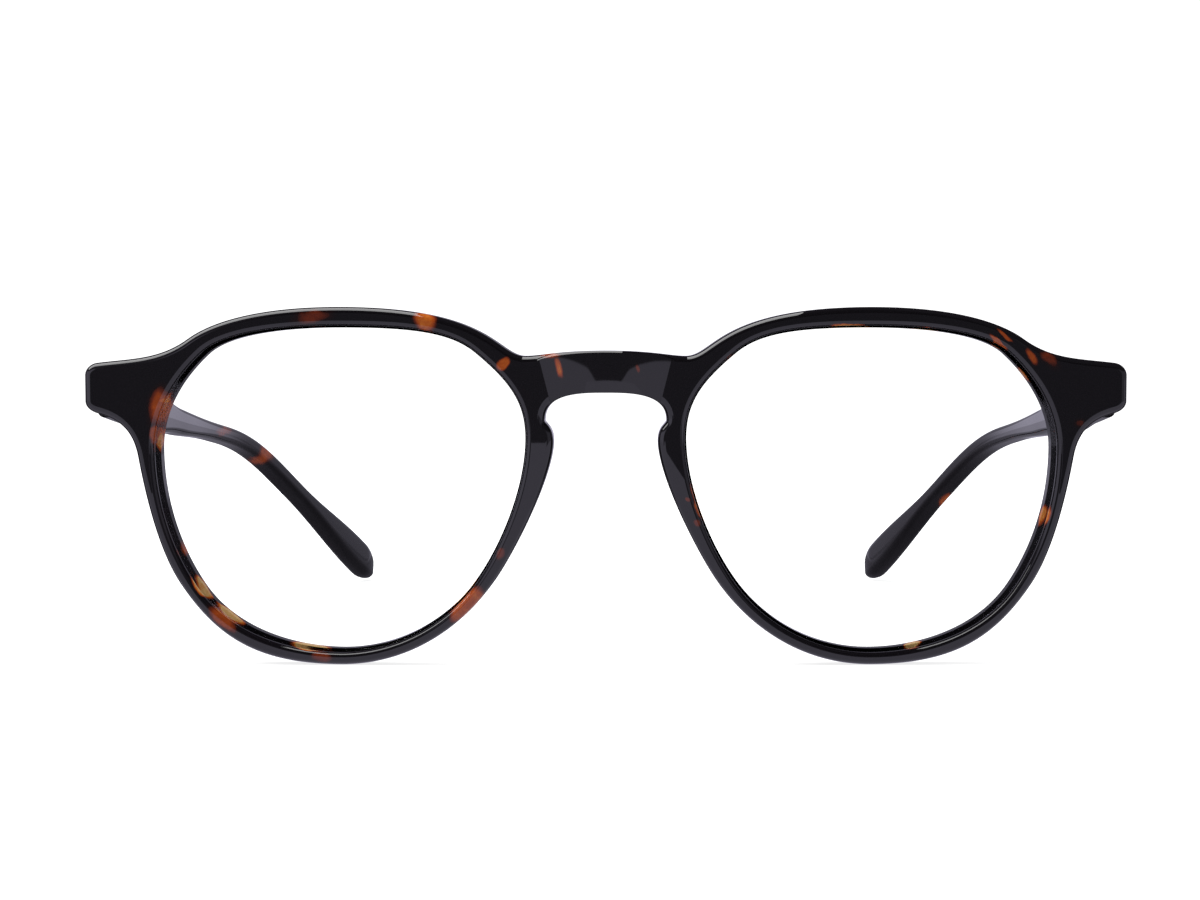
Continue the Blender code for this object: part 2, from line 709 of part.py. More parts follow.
def make_temple(name, side, collection, cutters, material, parent):
    places = temple_path()
    start = places[0][0]
    body_end = TEMPLE_LENGTH - TIP_ROUNDING
    rounding = [body_end + TIP_ROUNDING * math.sin(math.radians(angle)) for angle in (22, 45, 65, 82)]
    rings = []
    for length in temple_lengths(start, body_end) + rounding:
        scale = end_scale(length)
        half = TEMPLE_THICKNESS / 2
        inner, outer = half - temple_thickness(length), half
        middle = (inner + outer) / 2
        inner, outer = (middle + (edge - middle) * scale for edge in (inner, outer))
        half_height = temple_height(length) / 2 * scale
        paddle = smooth_step(length / TEMPLE_LENGTH, *PADDLE_SHARES)
        corner = min(TEMPLE_CORNER * (1 + TIP_CORNER_SHARE * paddle),
                     CORNER_LIMIT_SHARE * (outer - inner) / 2, CORNER_LIMIT_SHARE * half_height)
        rings.append(temple_ring(path_at(places, length), inner, outer, half_height, corner))
    bm = loft(rings)
    trim_to_end_piece(bm)
    temple = make_object(name, bm, collection, material)
    for cut in (temple_leaf_box(GAP), core_shape(places, GAP, start)):
        combine(temple, make_object("cutter", cut, cutters), "DIFFERENCE")
    return finish_in_hinge(temple, side, parent)


def trim_to_end_piece(bm):
    """Cut the butt parallel to the back of the end piece, a gap behind it."""
    to_hinge = hinge_frame(1).inverted()
    across = FRONT_HALF - TEMPLE_SET_BACK - TEMPLE_THICKNESS / 2
    place = to_hinge @ wrapped(across, FRONT_THICKNESS + GAP, END_Z)
    behind = to_hinge @ wrapped(across, FRONT_THICKNESS + 2 * GAP, END_Z)
    cut = bmesh.ops.bisect_plane(bm, geom=bm.verts[:] + bm.edges[:] + bm.faces[:], plane_co=place,
                                 plane_no=(place - behind).normalized(), clear_outer=True)
    rim = [piece for piece in cut["geom_cut"] if isinstance(piece, bmesh.types.BMEdge)]
    bmesh.ops.contextual_create(bm, geom=rim)


def core_shape(places, clearance, start):
    """The wire core, or with a clearance the channel that it was pushed into."""
    end = TEMPLE_LENGTH - CORE_STOP + clearance
    half_height = CORE_HEIGHT / 2 + clearance
    half_thickness = CORE_THICKNESS / 2 + clearance
    corner = CORE_THICKNESS * CORE_CORNER_SHARE
    rings = []
    for length in temple_lengths(start, end):
        rings.append(temple_ring(path_at(places, length), CORE_OFFSET - half_thickness,
                                 CORE_OFFSET + half_thickness, half_height, corner))
    return loft(rings)


def make_core(name, side, collection, material, parent):
    core = make_object(name, core_shape(temple_path(), 0.0, GAP), collection, material)
    return finish_in_hinge(core, side, parent)


def finish_in_hinge(made, side, parent):
    if side < 0:
        flipped = bmesh.new()
        flipped.from_mesh(made.data)
        mirror(flipped).to_mesh(made.data)
        flipped.free()
    made.data.shade_smooth()
    made.data.set_sharp_from_angle(angle=math.radians(40))
    made.parent = parent
    return made


# Standing on the table


def lowest(points, tilt):
    return min(p.y * math.sin(tilt) + p.z * math.cos(tilt) for p in points)


def table_tilt(front_points, temple_points):
    """The lean at which the rims and the temple tips touch the table together."""
    low, high = math.radians(-20), math.radians(20)
    for _ in range(50):
        tilt = (low + high) / 2
        if lowest(temple_points, tilt) < lowest(front_points, tilt):
            low = tilt
        else:
            high = tilt
    return tilt


def main():
    remove_everything()
    collection = make_collection("eyeglass_frame")
    cutters = make_collection("cutters")
    acetate = make_material("dark_tortoise_acetate", (0.016, 0.013, 0.014), 0.08)
    pad_acetate = make_material("nose_pad_acetate", (0.020, 0.013, 0.011), 0.12)
    clear = make_material("clear_lens", (1.0, 1.0, 1.0), 0.02, transmission=1.0)
    steel = make_material("hinge_nickel_silver", (0.62, 0.60, 0.56), 0.30, metallic=1.0)
    screw_steel = make_material("screw_steel", (0.55, 0.55, 0.57), 0.25, metallic=1.0)
    core_steel = make_material("core_wire", (0.60, 0.58, 0.53), 0.40, metallic=1.0)

    stand = bpy.data.objects.new("frame_on_table", None)
    collection.objects.link(stand)
    front = make_front(collection, cutters, acetate, stand)
    temples = []
    for side, word in ((-1, "left"), (1, "right")):
        make_lens(f"lens_{word}", side, collection, clear, stand)
        make_nose_pad(f"nose_pad_{word}", side, collection, pad_acetate, stand)
        fixed = bpy.data.objects.new(f"hinge_seat_{word}", None)
        turning = bpy.data.objects.new(f"hinge_axis_{word}", None)
        for empty in (fixed, turning):
            collection.objects.link(empty)
            empty.parent = stand
            empty.matrix_local = hinge_frame(side)
        make_front_hinge(f"front_hinge_{word}", side, collection, cutters, steel, fixed)
        make_screw(f"hinge_screw_{word}", collection, cutters, screw_steel, fixed)
        make_temple_hinge(f"temple_hinge_{word}", side, collection, cutters, steel, turning)
        temples.append(make_temple(f"temple_{word}", side, collection, cutters, acetate, turning))
        make_core(f"temple_core_{word}", side, collection, core_steel, turning)

    front_points = [vertex.co.copy() for vertex in front.data.vertices]
    temple_points = [hinge_frame(-1) @ vertex.co for vertex in temples[0].data.vertices]
    tilt = table_tilt(front_points, temple_points)
    turn = Matrix.Rotation(tilt, 4, "X")
    depths = [(turn @ point).y for point in front_points + temple_points]
    stand.rotation_euler.x = tilt
    stand.location = (0.0, -(min(depths) + max(depths)) / 2, -lowest(front_points, tilt))


main()
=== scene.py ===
"""The looks of an acetate eyeglass frame: polished tortoise acetate, clear lenses and small metal hinges.

The open frame stands on a white table and is seen from the front. Sizes are in metres.
"""
import json
from functools import partial, partialmethod, reduce
from math import atan2, ceil, copysign, cos, degrees, pi, radians, sin, sqrt, tau

import bmesh
import bpy
from mathutils import Matrix, Vector


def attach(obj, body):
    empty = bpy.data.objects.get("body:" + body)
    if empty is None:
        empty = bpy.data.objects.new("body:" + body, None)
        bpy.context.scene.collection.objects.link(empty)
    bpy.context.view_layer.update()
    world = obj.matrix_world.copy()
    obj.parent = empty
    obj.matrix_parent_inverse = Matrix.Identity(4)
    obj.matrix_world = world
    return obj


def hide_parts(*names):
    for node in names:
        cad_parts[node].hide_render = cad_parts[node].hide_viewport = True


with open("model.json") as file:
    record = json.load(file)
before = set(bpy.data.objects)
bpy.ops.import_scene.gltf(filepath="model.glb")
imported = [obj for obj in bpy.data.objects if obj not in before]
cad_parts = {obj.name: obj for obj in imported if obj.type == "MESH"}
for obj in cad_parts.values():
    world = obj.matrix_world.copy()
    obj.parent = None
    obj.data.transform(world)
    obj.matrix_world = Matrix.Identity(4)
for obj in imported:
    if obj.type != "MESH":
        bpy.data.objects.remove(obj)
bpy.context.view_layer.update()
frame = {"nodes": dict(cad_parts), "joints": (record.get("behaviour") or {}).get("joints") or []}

# Lenses and rims
LENS_WIDTH = 0.0510
LENS_HEIGHT = 0.0447
BRIDGE_WIDTH = 0.0200
LENS_EDGE_THICKNESS = 0.0011
LENS_BEVEL = 0.00045
LENS_DOME = 0.0015
LENS_SEAT_CLEARANCE = 0.0003
FRONT_THICKNESS = 0.0045
FRONT_WRAP_RADIUS = 0.756
RIM_TOP = 0.00195
RIM_SIDE = 0.00185
RIM_BOTTOM = 0.00115
OUTER_ROUNDING = 0.0010
BACK_ROUNDING = 0.0006
INNER_ROUNDING = 0.00065
BACK_BEVEL = 0.00045
FRONT_LIP = 0.0005
BACK_LIP = 0.0008
GROOVE_START = 0.0009
GROOVE_WIDTH = 0.0017
GROOVE_SLOPE = 0.00035

# Bridge, end pieces and nose pads
KEYHOLE_TOP = 0.0129
KEYHOLE_WAIST = 0.0093
KEYHOLE_WIDTH = 0.0162
NOSE_GAP = 0.0139
NOSE_PINCH = 0.0065
BRIDGE_HEIGHT = 0.0056
BROW_DIP_HALF = 0.0107
BROW_DIP_DROP = 0.0007
BROW_CHAMFER = 0.0002
BROW_CHAMFER_HALF = 0.0093
HOLLOW_HEIGHT = 0.0151
HOLLOW_HALF_WIDTH = 0.0082
HOLLOW_FLARE = 0.0025
HOLLOW_DEPTH = 0.0008
HOLLOW_EDGE_DEPTH = 0.00022
HOLLOW_LEAN = 0.00026
HOLLOW_SIDE_LEAN = 0.00028
HOLLOW_RISE = 0.0100
END_REACH = 0.0090
END_HEIGHT = 0.0068
END_RISE = 0.01345
END_CORNER = 0.0017
PAD_WIDTH = 0.0020
PAD_DEPTH = 0.0040
PAD_INSET = 0.0005
PAD_END_DEPTH = 0.0005
PAD_SPLAY = 0.0006
PAD_SWELL_POWER = 0.7
PAD_END_WIDTH_SHARE = 0.55

# Hinges
BARREL_RADIUS = 0.0014
HINGE_HEIGHT = 0.0048
KNUCKLE_GAP = 0.00015
SCREW_RADIUS = 0.0006
SCREW_CLEARANCE = 0.0001
SCREW_HEAD_RADIUS = 0.0010
SCREW_HEAD_HEIGHT = 0.0005
SCREW_SLOT = 0.00025
LEAF_THICKNESS = 0.0008
LEAF_HEIGHT = 0.0050
FRONT_LEAF_WIDTH = 0.0046
TEMPLE_LEAF_LENGTH = 0.0098
LEAF_LEAD = 0.0008
WEB_WIDTH = 0.0016
EDGE_BREAK = 0.00008
KNUCKLES = 5
WEB_HEIGHT_SHARE = 0.98

# Temples
TEMPLE_LENGTH = 0.1450
TEMPLE_STRAIGHT = 0.0680
TEMPLE_THICKNESS = 0.0040
TEMPLE_WAIST_THICKNESS = 0.0036
TEMPLE_BUTT_HEIGHT = 0.0070
TEMPLE_WAIST_HEIGHT = 0.0028
TEMPLE_TIP_HEIGHT = 0.0066
TEMPLE_CORNER = 0.0009
TEMPLE_SET_BACK = 0.0004
TEMPLE_DROP = 0.0007
TEMPLE_BELLY = 0.0012
BEND_LENGTH = 0.0350
TIP_ROUNDING = 0.0065
CORE_HEIGHT = 0.0013
CORE_THICKNESS = 0.0009
CORE_OFFSET = 0.0003
CORE_STOP = 0.0120
TEMPLE_RING_SPACING = 0.0012
CHANNEL_RING_SPACING = 0.0040

GAP = 0.0003
OVERRUN = 0.0010
FACE_OVERRUN = 0.0002
POINT_SPACING = 0.0007
MERGE_DISTANCE = 0.000004

# Angles in degrees
AXIS_LEAN = 2.5
PANTOSCOPIC_ANGLE = 7.5
TIP_BEND = 21.0
TIP_TOE_IN = 15.0
POINT_TURN = 4.0
TIP_TURNS = range(8, 89, 8)
SMOOTH_ANGLE = 30.0
FRONT_SMOOTH_ANGLE = 20.0
PAD_SMOOTH_ANGLE = 50.0
TEMPLE_SMOOTH_ANGLE = 40.0

# Outlines: across and up as shares, heading in degrees, handles before and after as shares
LENS_OUTLINE_SHARES = (
    (0.000, 1.000, 0.0, 0.51, 0.40),
    (0.735, 0.835, -42.0, 0.22, 0.37),
    (1.000, 0.240, -90.0, 0.34, 0.35),
    (0.780, -0.600, -124.0, 0.33, 0.35),
    (0.000, -1.000, 180.0, 0.34, 0.33),
    (-0.712, -0.600, 127.5, 0.36, 0.30),
    (-1.000, 0.307, 90.0, 0.31, 0.36),
    (-0.726, 0.842, 39.5, 0.45, 0.24),
)
SHOULDER_SHARES = (0.800, 0.897)
SIDE_SHARES = (1.0, 0.19)
LOWER_SIDE_SHARES = (0.794, -0.545)
LOWER_NOSE_SHARES = (-0.754, -0.521)
WAIST_SHARES = (0.05, 0.27)
PADDLE_SHARES = (0.74, 0.945)
BELLY_SHARES = (0.06, 0.16, 0.24, 0.46)
TOE_IN_SHARES = (0.30, 0.73)
PAD_SPAN_SHARES = (0.25, 1.0)
PAD_SECTION_SHARES = (
    (0.02, 0.0), (0.5, 0.0), (0.98, 0.0), (1.0, 0.25), (0.97, 0.5), (0.88, 0.76), (0.72, 0.93),
    (0.5, 1.0), (0.3, 0.93), (0.12, 0.7), (0.03, 0.4), (0.0, 0.15),
)
CORNER_LIMIT_SHARE = 0.98
PADDLE_CORNER_GAIN = 0.7
SHARPEST_CORNER = 0.5
HOLLOW_LIKENESS = 0.998
WALL_SLOPE = 0.3
PAD_STATIONS = 40
PATH_STEPS = 290
CORNER_POINTS = 8
CHANNEL_CORNER_POINTS = 3
HOLLOW_STEPS = 40
ROUND_SIDES = 48
ROUNDING_STEPS = 12
LENS_RING_SHARES = (1.0, 0.9, 0.75, 0.6, 0.45, 0.3, 0.15, 0.05)

LENS_HALF_WIDTH = LENS_WIDTH / 2
LENS_HALF_HEIGHT = LENS_HEIGHT / 2
LENS_X = (LENS_WIDTH + BRIDGE_WIDTH) / 2
LENS_Z = LENS_HALF_HEIGHT + RIM_BOTTOM
RIM_HALF_WIDTH = LENS_HALF_WIDTH + RIM_SIDE
RIM_LOWER_HEIGHT = LENS_HALF_HEIGHT + RIM_BOTTOM
FRONT_HALF = LENS_X + LENS_HALF_WIDTH + END_REACH
END_Z = LENS_Z + END_RISE
HOLLOW_Z = LENS_Z + HOLLOW_HEIGHT
HINGE_X = FRONT_HALF - TEMPLE_SET_BACK - TEMPLE_THICKNESS - GAP - BARREL_RADIUS
KNUCKLE_HEIGHT = (HINGE_HEIGHT - (KNUCKLES - 1) * KNUCKLE_GAP) / KNUCKLES
INNER_FACE = BARREL_RADIUS + GAP
TEMPLE_PITCH = radians(PANTOSCOPIC_ANGLE - AXIS_LEAN)
CORE_CORNER = CORE_THICKNESS / 5


# Trees of nodes


class Board:
    """The tree of a new material, a group or the room, with short ways to add and join its nodes."""

    def __init__(self, name, tree=None):
        if tree is None:
            self.material = bpy.data.materials.new(name)
            self.material.use_nodes = True
            tree = self.material.node_tree
            self.shader = tree.nodes["Principled BSDF"]
        self.tree = tree

    def feed(self, socket, value):
        if isinstance(value, bpy.types.NodeSocket):
            self.tree.links.new(value, socket)
        else:
            socket.default_value = value

    def fill(self, node, **values):
        for key, value in values.items():
            self.feed(node.inputs[key.replace("_", " ")], value)
        return node

    def surface(self, **values):
        self.fill(self.shader, **values)

    def node(self, kind, settings=None, **values):
        made = self.tree.nodes.new(kind)
        for key, value in (settings or {}).items():
            setattr(made, key, value)
        return self.fill(made, **values)

    def ordered(self, kind, settings, values):
        """The outputs of a new node whose inputs take values in their own order."""
        made = self.node(kind, settings)
        for socket, value in zip(made.inputs, values):
            self.feed(socket, value)
        return made.outputs

    def math(self, operation, *values):
        return self.ordered("ShaderNodeMath", {"operation": operation}, values)[0]

    def vector_math(self, operation, *values):
        outputs = self.ordered("ShaderNodeVectorMath", {"operation": operation}, values)
        return outputs["Value" if operation == "LENGTH" else "Vector"]

    def chain(self, operation, *values):
        """Values joined one after the other."""
        return reduce(partial(self.math, operation), values)

    plus = partialmethod(chain, "ADD")
    minus = partialmethod(chain, "SUBTRACT")
    times = partialmethod(chain, "MULTIPLY")
    over = partialmethod(chain, "DIVIDE")
    larger = partialmethod(chain, "MAXIMUM")

    def place(self, space="Object"):
        return self.node("ShaderNodeTexCoord").outputs[space]

    def axes(self, vector):
        return self.node("ShaderNodeSeparateXYZ", Vector=vector).outputs

    def noise(self, place, scale, detail=2.0, colour=False):
        made = self.node("ShaderNodeTexNoise", Vector=place, Scale=scale, Detail=detail)
        return made.outputs["Color" if colour else "Fac"]

    def ramp(self, value, stops):
        made = self.node("ShaderNodeValToRGB", Fac=value)
        elements = made.color_ramp.elements
        while len(elements) < len(stops):
            elements.new(0.5)
        for element, (position, colour) in zip(elements, stops):
            element.position = position
            element.color = (*colour, 1.0)
        return made.outputs["Color"]

    def map_range(self, value, low, high, to_low=0.0, to_high=1.0):
        """A value's way from low to high as a soft step."""
        return self.ordered("ShaderNodeMapRange", {"interpolation_type": "SMOOTHSTEP"},
                            (value, low, high, to_low, to_high))[0]

    def spread(self, noise, low, high):
        """A noise's usual values spread from low to high."""
        return self.map_range(noise, *NOISE_VALUES, low, high)

    def blend(self, share, one, other):
        return self.node("ShaderNodeMix", Factor=share, A=one, B=other).outputs["Result"]

    def bump(self, height, strength, distance):
        made = self.node("ShaderNodeBump", Height=height, Strength=strength, Distance=distance)
        self.surface(Normal=made.outputs["Normal"])


def node_group(name, kind, inputs, output, output_kind):
    """A new group's board, what the group is given by name, and the socket that takes its result."""
    board = Board(name, bpy.data.node_groups.new(name, kind))
    for key, value_kind in inputs.items():
        board.tree.interface.new_socket(key, in_out="INPUT", socket_type=f"NodeSocket{value_kind}")
    board.tree.interface.new_socket(output, in_out="OUTPUT", socket_type=f"NodeSocket{output_kind}")
    return board, board.node("NodeGroupInput").outputs, board.node("NodeGroupOutput").inputs[output]


# Outlines


def smooth_step(value, start, end):
    share = min(max((value - start) / (end - start), 0.0), 1.0)
    return share * share * (3 - 2 * share)


def heading_vector(degrees):
    return Vector((cos(radians(degrees)), sin(radians(degrees))))


def smooth_outline(anchors, closed=True):
    """Points along the curve through anchors of (point, heading, handle before, handle after)."""
    points = []
    pairs = list(zip(anchors, anchors[1:] + anchors[:1]))
    for here, there in pairs if closed else pairs[:-1]:
        start, end = Vector(here[0]), Vector(there[0])
        chord = (end - start).length
        leaving, arriving = heading_vector(here[1]), heading_vector(there[1])
        first = start + leaving * here[3] * chord
        last = end - arriving * there[2] * chord
        turn = degrees(leaving.angle(end - start) + arriving.angle(end - start))
        count = max(ceil(chord / POINT_SPACING), ceil(turn / POINT_TURN))
        for step in range(count):
            t = step / count
            point = (start * (1 - t) ** 3 + first * 3 * t * (1 - t) ** 2
                     + last * 3 * t * t * (1 - t) + end * t ** 3)
            points.append(point)
    if not closed:
        points.append(Vector(anchors[-1][0]))
    return points


def grown(points, distance):
    """A closed clockwise outline moved outwards by a distance, or inwards by a negative one."""
    moved = []
    for before, here, after in zip(points[-1:] + points[:-1], points, points[1:] + points[:1]):
        one, two = (here - before).normalized(), (after - here).normalized()
        normal = Vector((-one.y - two.y, one.x + two.x)).normalized()
        corner = max(normal.dot(Vector((-one.y, one.x))), SHARPEST_CORNER)
        moved.append(here + normal * distance / corner)
    return moved


def at_lens(shares, half_width, half_height):
    """A point at shares of a half width and a half height from the right lens's middle."""
    return LENS_X + shares[0] * half_width, LENS_Z + shares[1] * half_height


def lens_outline(clearance=0.0):
    """The right lens's edge at the tip of its bevel, clockwise from the top."""
    anchors = [(at_lens(row, LENS_HALF_WIDTH, LENS_HALF_HEIGHT), *row[2:]) for row in LENS_OUTLINE_SHARES]
    return grown(smooth_outline(anchors), -clearance)


def nose_anchors():
    """The nose edge of the right rim, from low on the rim up to the pinch above the pad."""
    low = at_lens(LOWER_NOSE_SHARES, RIM_HALF_WIDTH, RIM_LOWER_HEIGHT)
    return [(low, 125.0, 0.36, 0.22), ((NOSE_GAP / 2, LENS_Z + NOSE_PINCH), 90.0, 0.23, 0.67)]


def front_outline():
    """The front's outline, clockwise from the middle of the bridge's top edge."""
    arch_top = LENS_Z + KEYHOLE_TOP
    bridge_top = arch_top + BRIDGE_HEIGHT
    end_top, end_base = END_Z + END_HEIGHT / 2, END_Z - END_HEIGHT / 2
    half = smooth_outline([
        ((0.0, bridge_top), 0.0, 0.0, 0.60),
        ((BROW_DIP_HALF, bridge_top - BROW_DIP_DROP), 0.0, 0.20, 0.15),
        ((LENS_X, LENS_Z + LENS_HALF_HEIGHT + RIM_TOP), 0.0, 0.80, 0.55),
        (at_lens(SHOULDER_SHARES, LENS_HALF_WIDTH, LENS_HALF_HEIGHT), -35.5, 0.17, 0.37),
        ((FRONT_HALF - END_CORNER, end_top), -7.0, 0.37, 0.38),
        ((FRONT_HALF, end_top - END_CORNER), -90.0, 0.38, 0.33),
        ((FRONT_HALF, end_base + END_CORNER), -90.0, 0.33, 0.38),
        ((FRONT_HALF - END_CORNER, end_base), -165.0, 0.38, 0.33),
        (at_lens(SIDE_SHARES, RIM_HALF_WIDTH, LENS_HALF_HEIGHT), -100.0, 0.50, 0.31),
        (at_lens(LOWER_SIDE_SHARES, RIM_HALF_WIDTH, RIM_LOWER_HEIGHT), -124.0, 0.29, 0.38),
        ((LENS_X, 0.0), 180.0, 0.45, 0.36),
        *nose_anchors(),
        ((KEYHOLE_WIDTH / 2, LENS_Z + KEYHOLE_WAIST), 90.0, 0.20, 0.41),
        ((0.0, arch_top), 180.0, 0.35, 0.0),
    ], closed=False)
    return half + [Vector((-p.x, p.y)) for p in reversed(half[1:-1])]


# Solids


def loft(rings):
    """A closed solid through rings of equally many points, flat at both ends."""
    bm = bmesh.new()
    rows = [[bm.verts.new(point) for point in ring] for ring in rings]
    for row, following in zip(rows, rows[1:]):
        for index in range(len(row)):
            after = (index + 1) % len(row)
            bm.faces.new((row[index], row[after], following[after], following[index]))
    bm.faces.new(rows[0])
    bm.faces.new(rows[-1])
    return bm


def box(size, centre, turn=Matrix()):
    bm = bmesh.new()
    place = turn @ Matrix.Translation(centre) @ Matrix.Diagonal((*size, 1.0))
    bmesh.ops.create_cube(bm, size=1.0, matrix=place)
    return bm


def cylinder(radius, height, centre, edge=0.0):
    """A standing cylinder whose rims are broken by a small round edge."""
    profile = [(radius, -height / 2), (radius, height / 2)]
    if edge:
        corner = [(radius - edge + edge * sin(a), height / 2 - edge + edge * cos(a))
                  for a in (pi / 2, pi / 4, 0.0)]
        profile = [(r, -z) for r, z in reversed(corner)] + corner
    turns = [tau * step / ROUND_SIDES for step in range(ROUND_SIDES)]
    return loft([[Vector((reach * cos(turn), reach * sin(turn), level)) + Vector(centre) for turn in turns]
                 for reach, level in profile])


def add_object(name, data):
    made = bpy.data.objects.new(name, data)
    bpy.context.scene.collection.objects.link(made)
    return made


def make_mesh(name, bm):
    """A named object at the origin, with its faces outwards."""
    bmesh.ops.recalc_face_normals(bm, faces=bm.faces)
    mesh = bpy.data.meshes.new(name)
    bm.to_mesh(mesh)
    bm.free()
    return add_object(name, mesh)


def settle(made):
    """Keep the shape that the modifiers give a piece as its own mesh."""
    graph = bpy.context.evaluated_depsgraph_get()
    mesh = bpy.data.meshes.new_from_object(made.evaluated_get(graph))
    made.modifiers.clear()
    made.data = mesh


def combine(target, shape, operation):
    """Cut a shape out of the target, or join it on."""
    tool = shape if isinstance(shape, bpy.types.Object) else make_mesh("tool", shape)
    modifier = target.modifiers.new(operation.lower(), "BOOLEAN")
    modifier.operation = operation
    modifier.solver = "EXACT"
    modifier.object = tool
    settle(target)
    bpy.data.objects.remove(tool, do_unlink=True)


def sections(outline, steps):
    """Rings of an outline at (depth, growth) steps, in the flat front's space: X, depth and Z."""
    return [[(p.x, depth, p.y) for p in grown(outline, growth)] for depth, growth in steps]


def wrapped(across, depth, up):
    angle = across / FRONT_WRAP_RADIUS
    radius = FRONT_WRAP_RADIUS - depth
    return Vector((radius * sin(angle), FRONT_WRAP_RADIUS - radius * cos(angle), up))


def sided(bm, side):
    if side < 0:
        bmesh.ops.scale(bm, vec=(-1, 1, 1), verts=bm.verts)
        bmesh.ops.reverse_faces(bm, faces=bm.faces)
    return bm


def mirror_mesh(made, side):
    if side < 0:
        bm = bmesh.new()
        bm.from_mesh(made.data)
        sided(bm, side).to_mesh(made.data)
        bm.free()


def finish_piece(made, place, smooth_angle=SMOOTH_ANGLE):
    """Put a piece's place into its mesh and shade it."""
    made.data.transform(place)
    made.data.shade_smooth()
    made.data.set_sharp_from_angle(angle=radians(smooth_angle))
    return made


# Where the joints put the front and its hinges


def hinge_frame(side):
    """The hinge's axis in the front's space."""
    place = wrapped(HINGE_X, FRONT_THICKNESS, END_Z) + Vector((0.0, BARREL_RADIUS + GAP, 0.0))
    lean = Matrix.Rotation(-radians(AXIS_LEAN), 4, "X")
    return Matrix.Translation((side * place.x, place.y, place.z)) @ lean


def stand_frame():
    """The front's place on the table, from the right hinge's joint."""
    joint = next(j for j in frame["joints"] if j["child"] == "right_temple")
    tilt = radians(AXIS_LEAN) + atan2(-joint["axis"][1], joint["axis"][2])
    turn = Matrix.Rotation(tilt, 4, "X")
    offset = Vector(joint["pos_m"]) - turn @ hinge_frame(1).translation
    return Matrix.Translation(offset) @ turn


STAND = stand_frame()


def bend(made):
    for vertex in made.data.vertices:
        vertex.co = wrapped(*vertex.co)


def bend_and_stand(made, smooth_angle=SMOOTH_ANGLE):
    bend(made)
    return finish_piece(made, STAND, smooth_angle)


# Front


def rounded_steps(radius):
    """A rounded edge from the face inwards, as steps of (depth, how far the hole is still wider)."""
    angles = [pi / 2 * (1 - step / ROUNDING_STEPS) for step in range(ROUNDING_STEPS + 1)]
    return [(radius * (1 - sin(angle)), radius * (1 - cos(angle))) for angle in angles]


def lens_opening():
    """The space that a lens and its groove leave in the front, through its whole thickness."""
    back = FRONT_THICKNESS
    steps = rounded_steps(INNER_ROUNDING)
    (depth, growth), (next_depth, next_growth) = steps[0], steps[1]
    flare = (growth - next_growth) / (next_depth - depth)
    front = [(-FACE_OVERRUN, growth + FACE_OVERRUN * flare)] + steps[1:]
    return loft(sections(lens_outline(), [(depth, growth - FRONT_LIP) for depth, growth in front] + [
        (GROOVE_START, -FRONT_LIP),
        (GROOVE_START + GROOVE_SLOPE, 0.0),
        (GROOVE_START + GROOVE_WIDTH - GROOVE_SLOPE, 0.0),
        (GROOVE_START + GROOVE_WIDTH, -BACK_LIP),
        (back - BACK_BEVEL, -BACK_LIP),
        (back + OVERRUN, OVERRUN + BACK_BEVEL - BACK_LIP),
    ]))


def hollow_depth(across, up):
    """How far the bridge's hollow lies behind the flat face at a place."""
    level = (up - HOLLOW_Z) / HOLLOW_RISE
    side = (across / (HOLLOW_HALF_WIDTH + level * HOLLOW_FLARE)) ** 2
    depth = HOLLOW_DEPTH + (HOLLOW_EDGE_DEPTH - HOLLOW_DEPTH) * side
    return depth - level * (HOLLOW_LEAN + HOLLOW_SIDE_LEAN * side)


def hollow_normal(across, up):
    reach = MERGE_DISTANCE
    slope_across = (hollow_depth(across + reach, up) - hollow_depth(across - reach, up)) / (2 * reach)
    slope_up = (hollow_depth(across, up + reach) - hollow_depth(across, up - reach)) / (2 * reach)
    return Vector((slope_across, -1.0, slope_up)).normalized()


def bridge_hollow():
    """The shallow hollow in the bridge: wider towards the brow, and turned a little downwards."""
    rings = []
    for level in (-1, 1):
        half_width = HOLLOW_HALF_WIDTH + level * HOLLOW_FLARE
        up = HOLLOW_Z + level * HOLLOW_RISE
        places = [half_width * (1 - 2 * step / HOLLOW_STEPS) for step in range(HOLLOW_STEPS + 1)]
        ring = [(-half_width, -OVERRUN), (half_width, -OVERRUN)]
        ring += [(across, hollow_depth(across, up)) for across in places]
        rings.append([(x, y, up) for x, y in ring])
    return loft(rings)


def brow_chamfer():
    """A fine chamfer along the brow over the hollow, that fades out at both ends."""
    above = LENS_Z + KEYHOLE_TOP + BRIDGE_HEIGHT / 2
    brow = [p for p in front_outline() if abs(p.x) < BROW_CHAMFER_HALF and p.y > above]
    over = FACE_OVERRUN
    rings = []
    for point in sorted(brow, key=lambda p: p.x):
        depth = min(max(hollow_depth(point.x, point.y), 0.0), OUTER_ROUNDING)
        edge = point.y - OUTER_ROUNDING + sqrt(OUTER_ROUNDING ** 2 - (OUTER_ROUNDING - depth) ** 2)
        size = BROW_CHAMFER * (1 - (point.x / BROW_CHAMFER_HALF) ** 4) - MERGE_DISTANCE
        corners = ((depth - over, edge - size - over), (depth + size + over, edge + over),
                   (depth - over, edge + over))
        rings.append([(point.x, back, up) for back, up in corners])
    return loft(rings)


def in_hollow(face):
    middle = face.calc_center_median()
    normal = hollow_normal(middle.x, middle.z)
    near = abs(middle.y - hollow_depth(middle.x, middle.z)) < 2 * MERGE_DISTANCE
    within = abs(middle.x) < HOLLOW_HALF_WIDTH + HOLLOW_FLARE
    return near and within and face.normal.dot(normal) > HOLLOW_LIKENESS


def faces_opening(face):
    """Whether a wall of the front looks into a lens opening."""
    middle = face.calc_center_median()
    inwards = Vector((copysign(LENS_X, middle.x) - middle.x, 0.0, LENS_Z - middle.z))
    faces_it = face.normal.dot(inwards.normalized()) > WALL_SLOPE
    return inwards.length < RIM_HALF_WIDTH and abs(face.normal.y) < WALL_SLOPE and faces_it


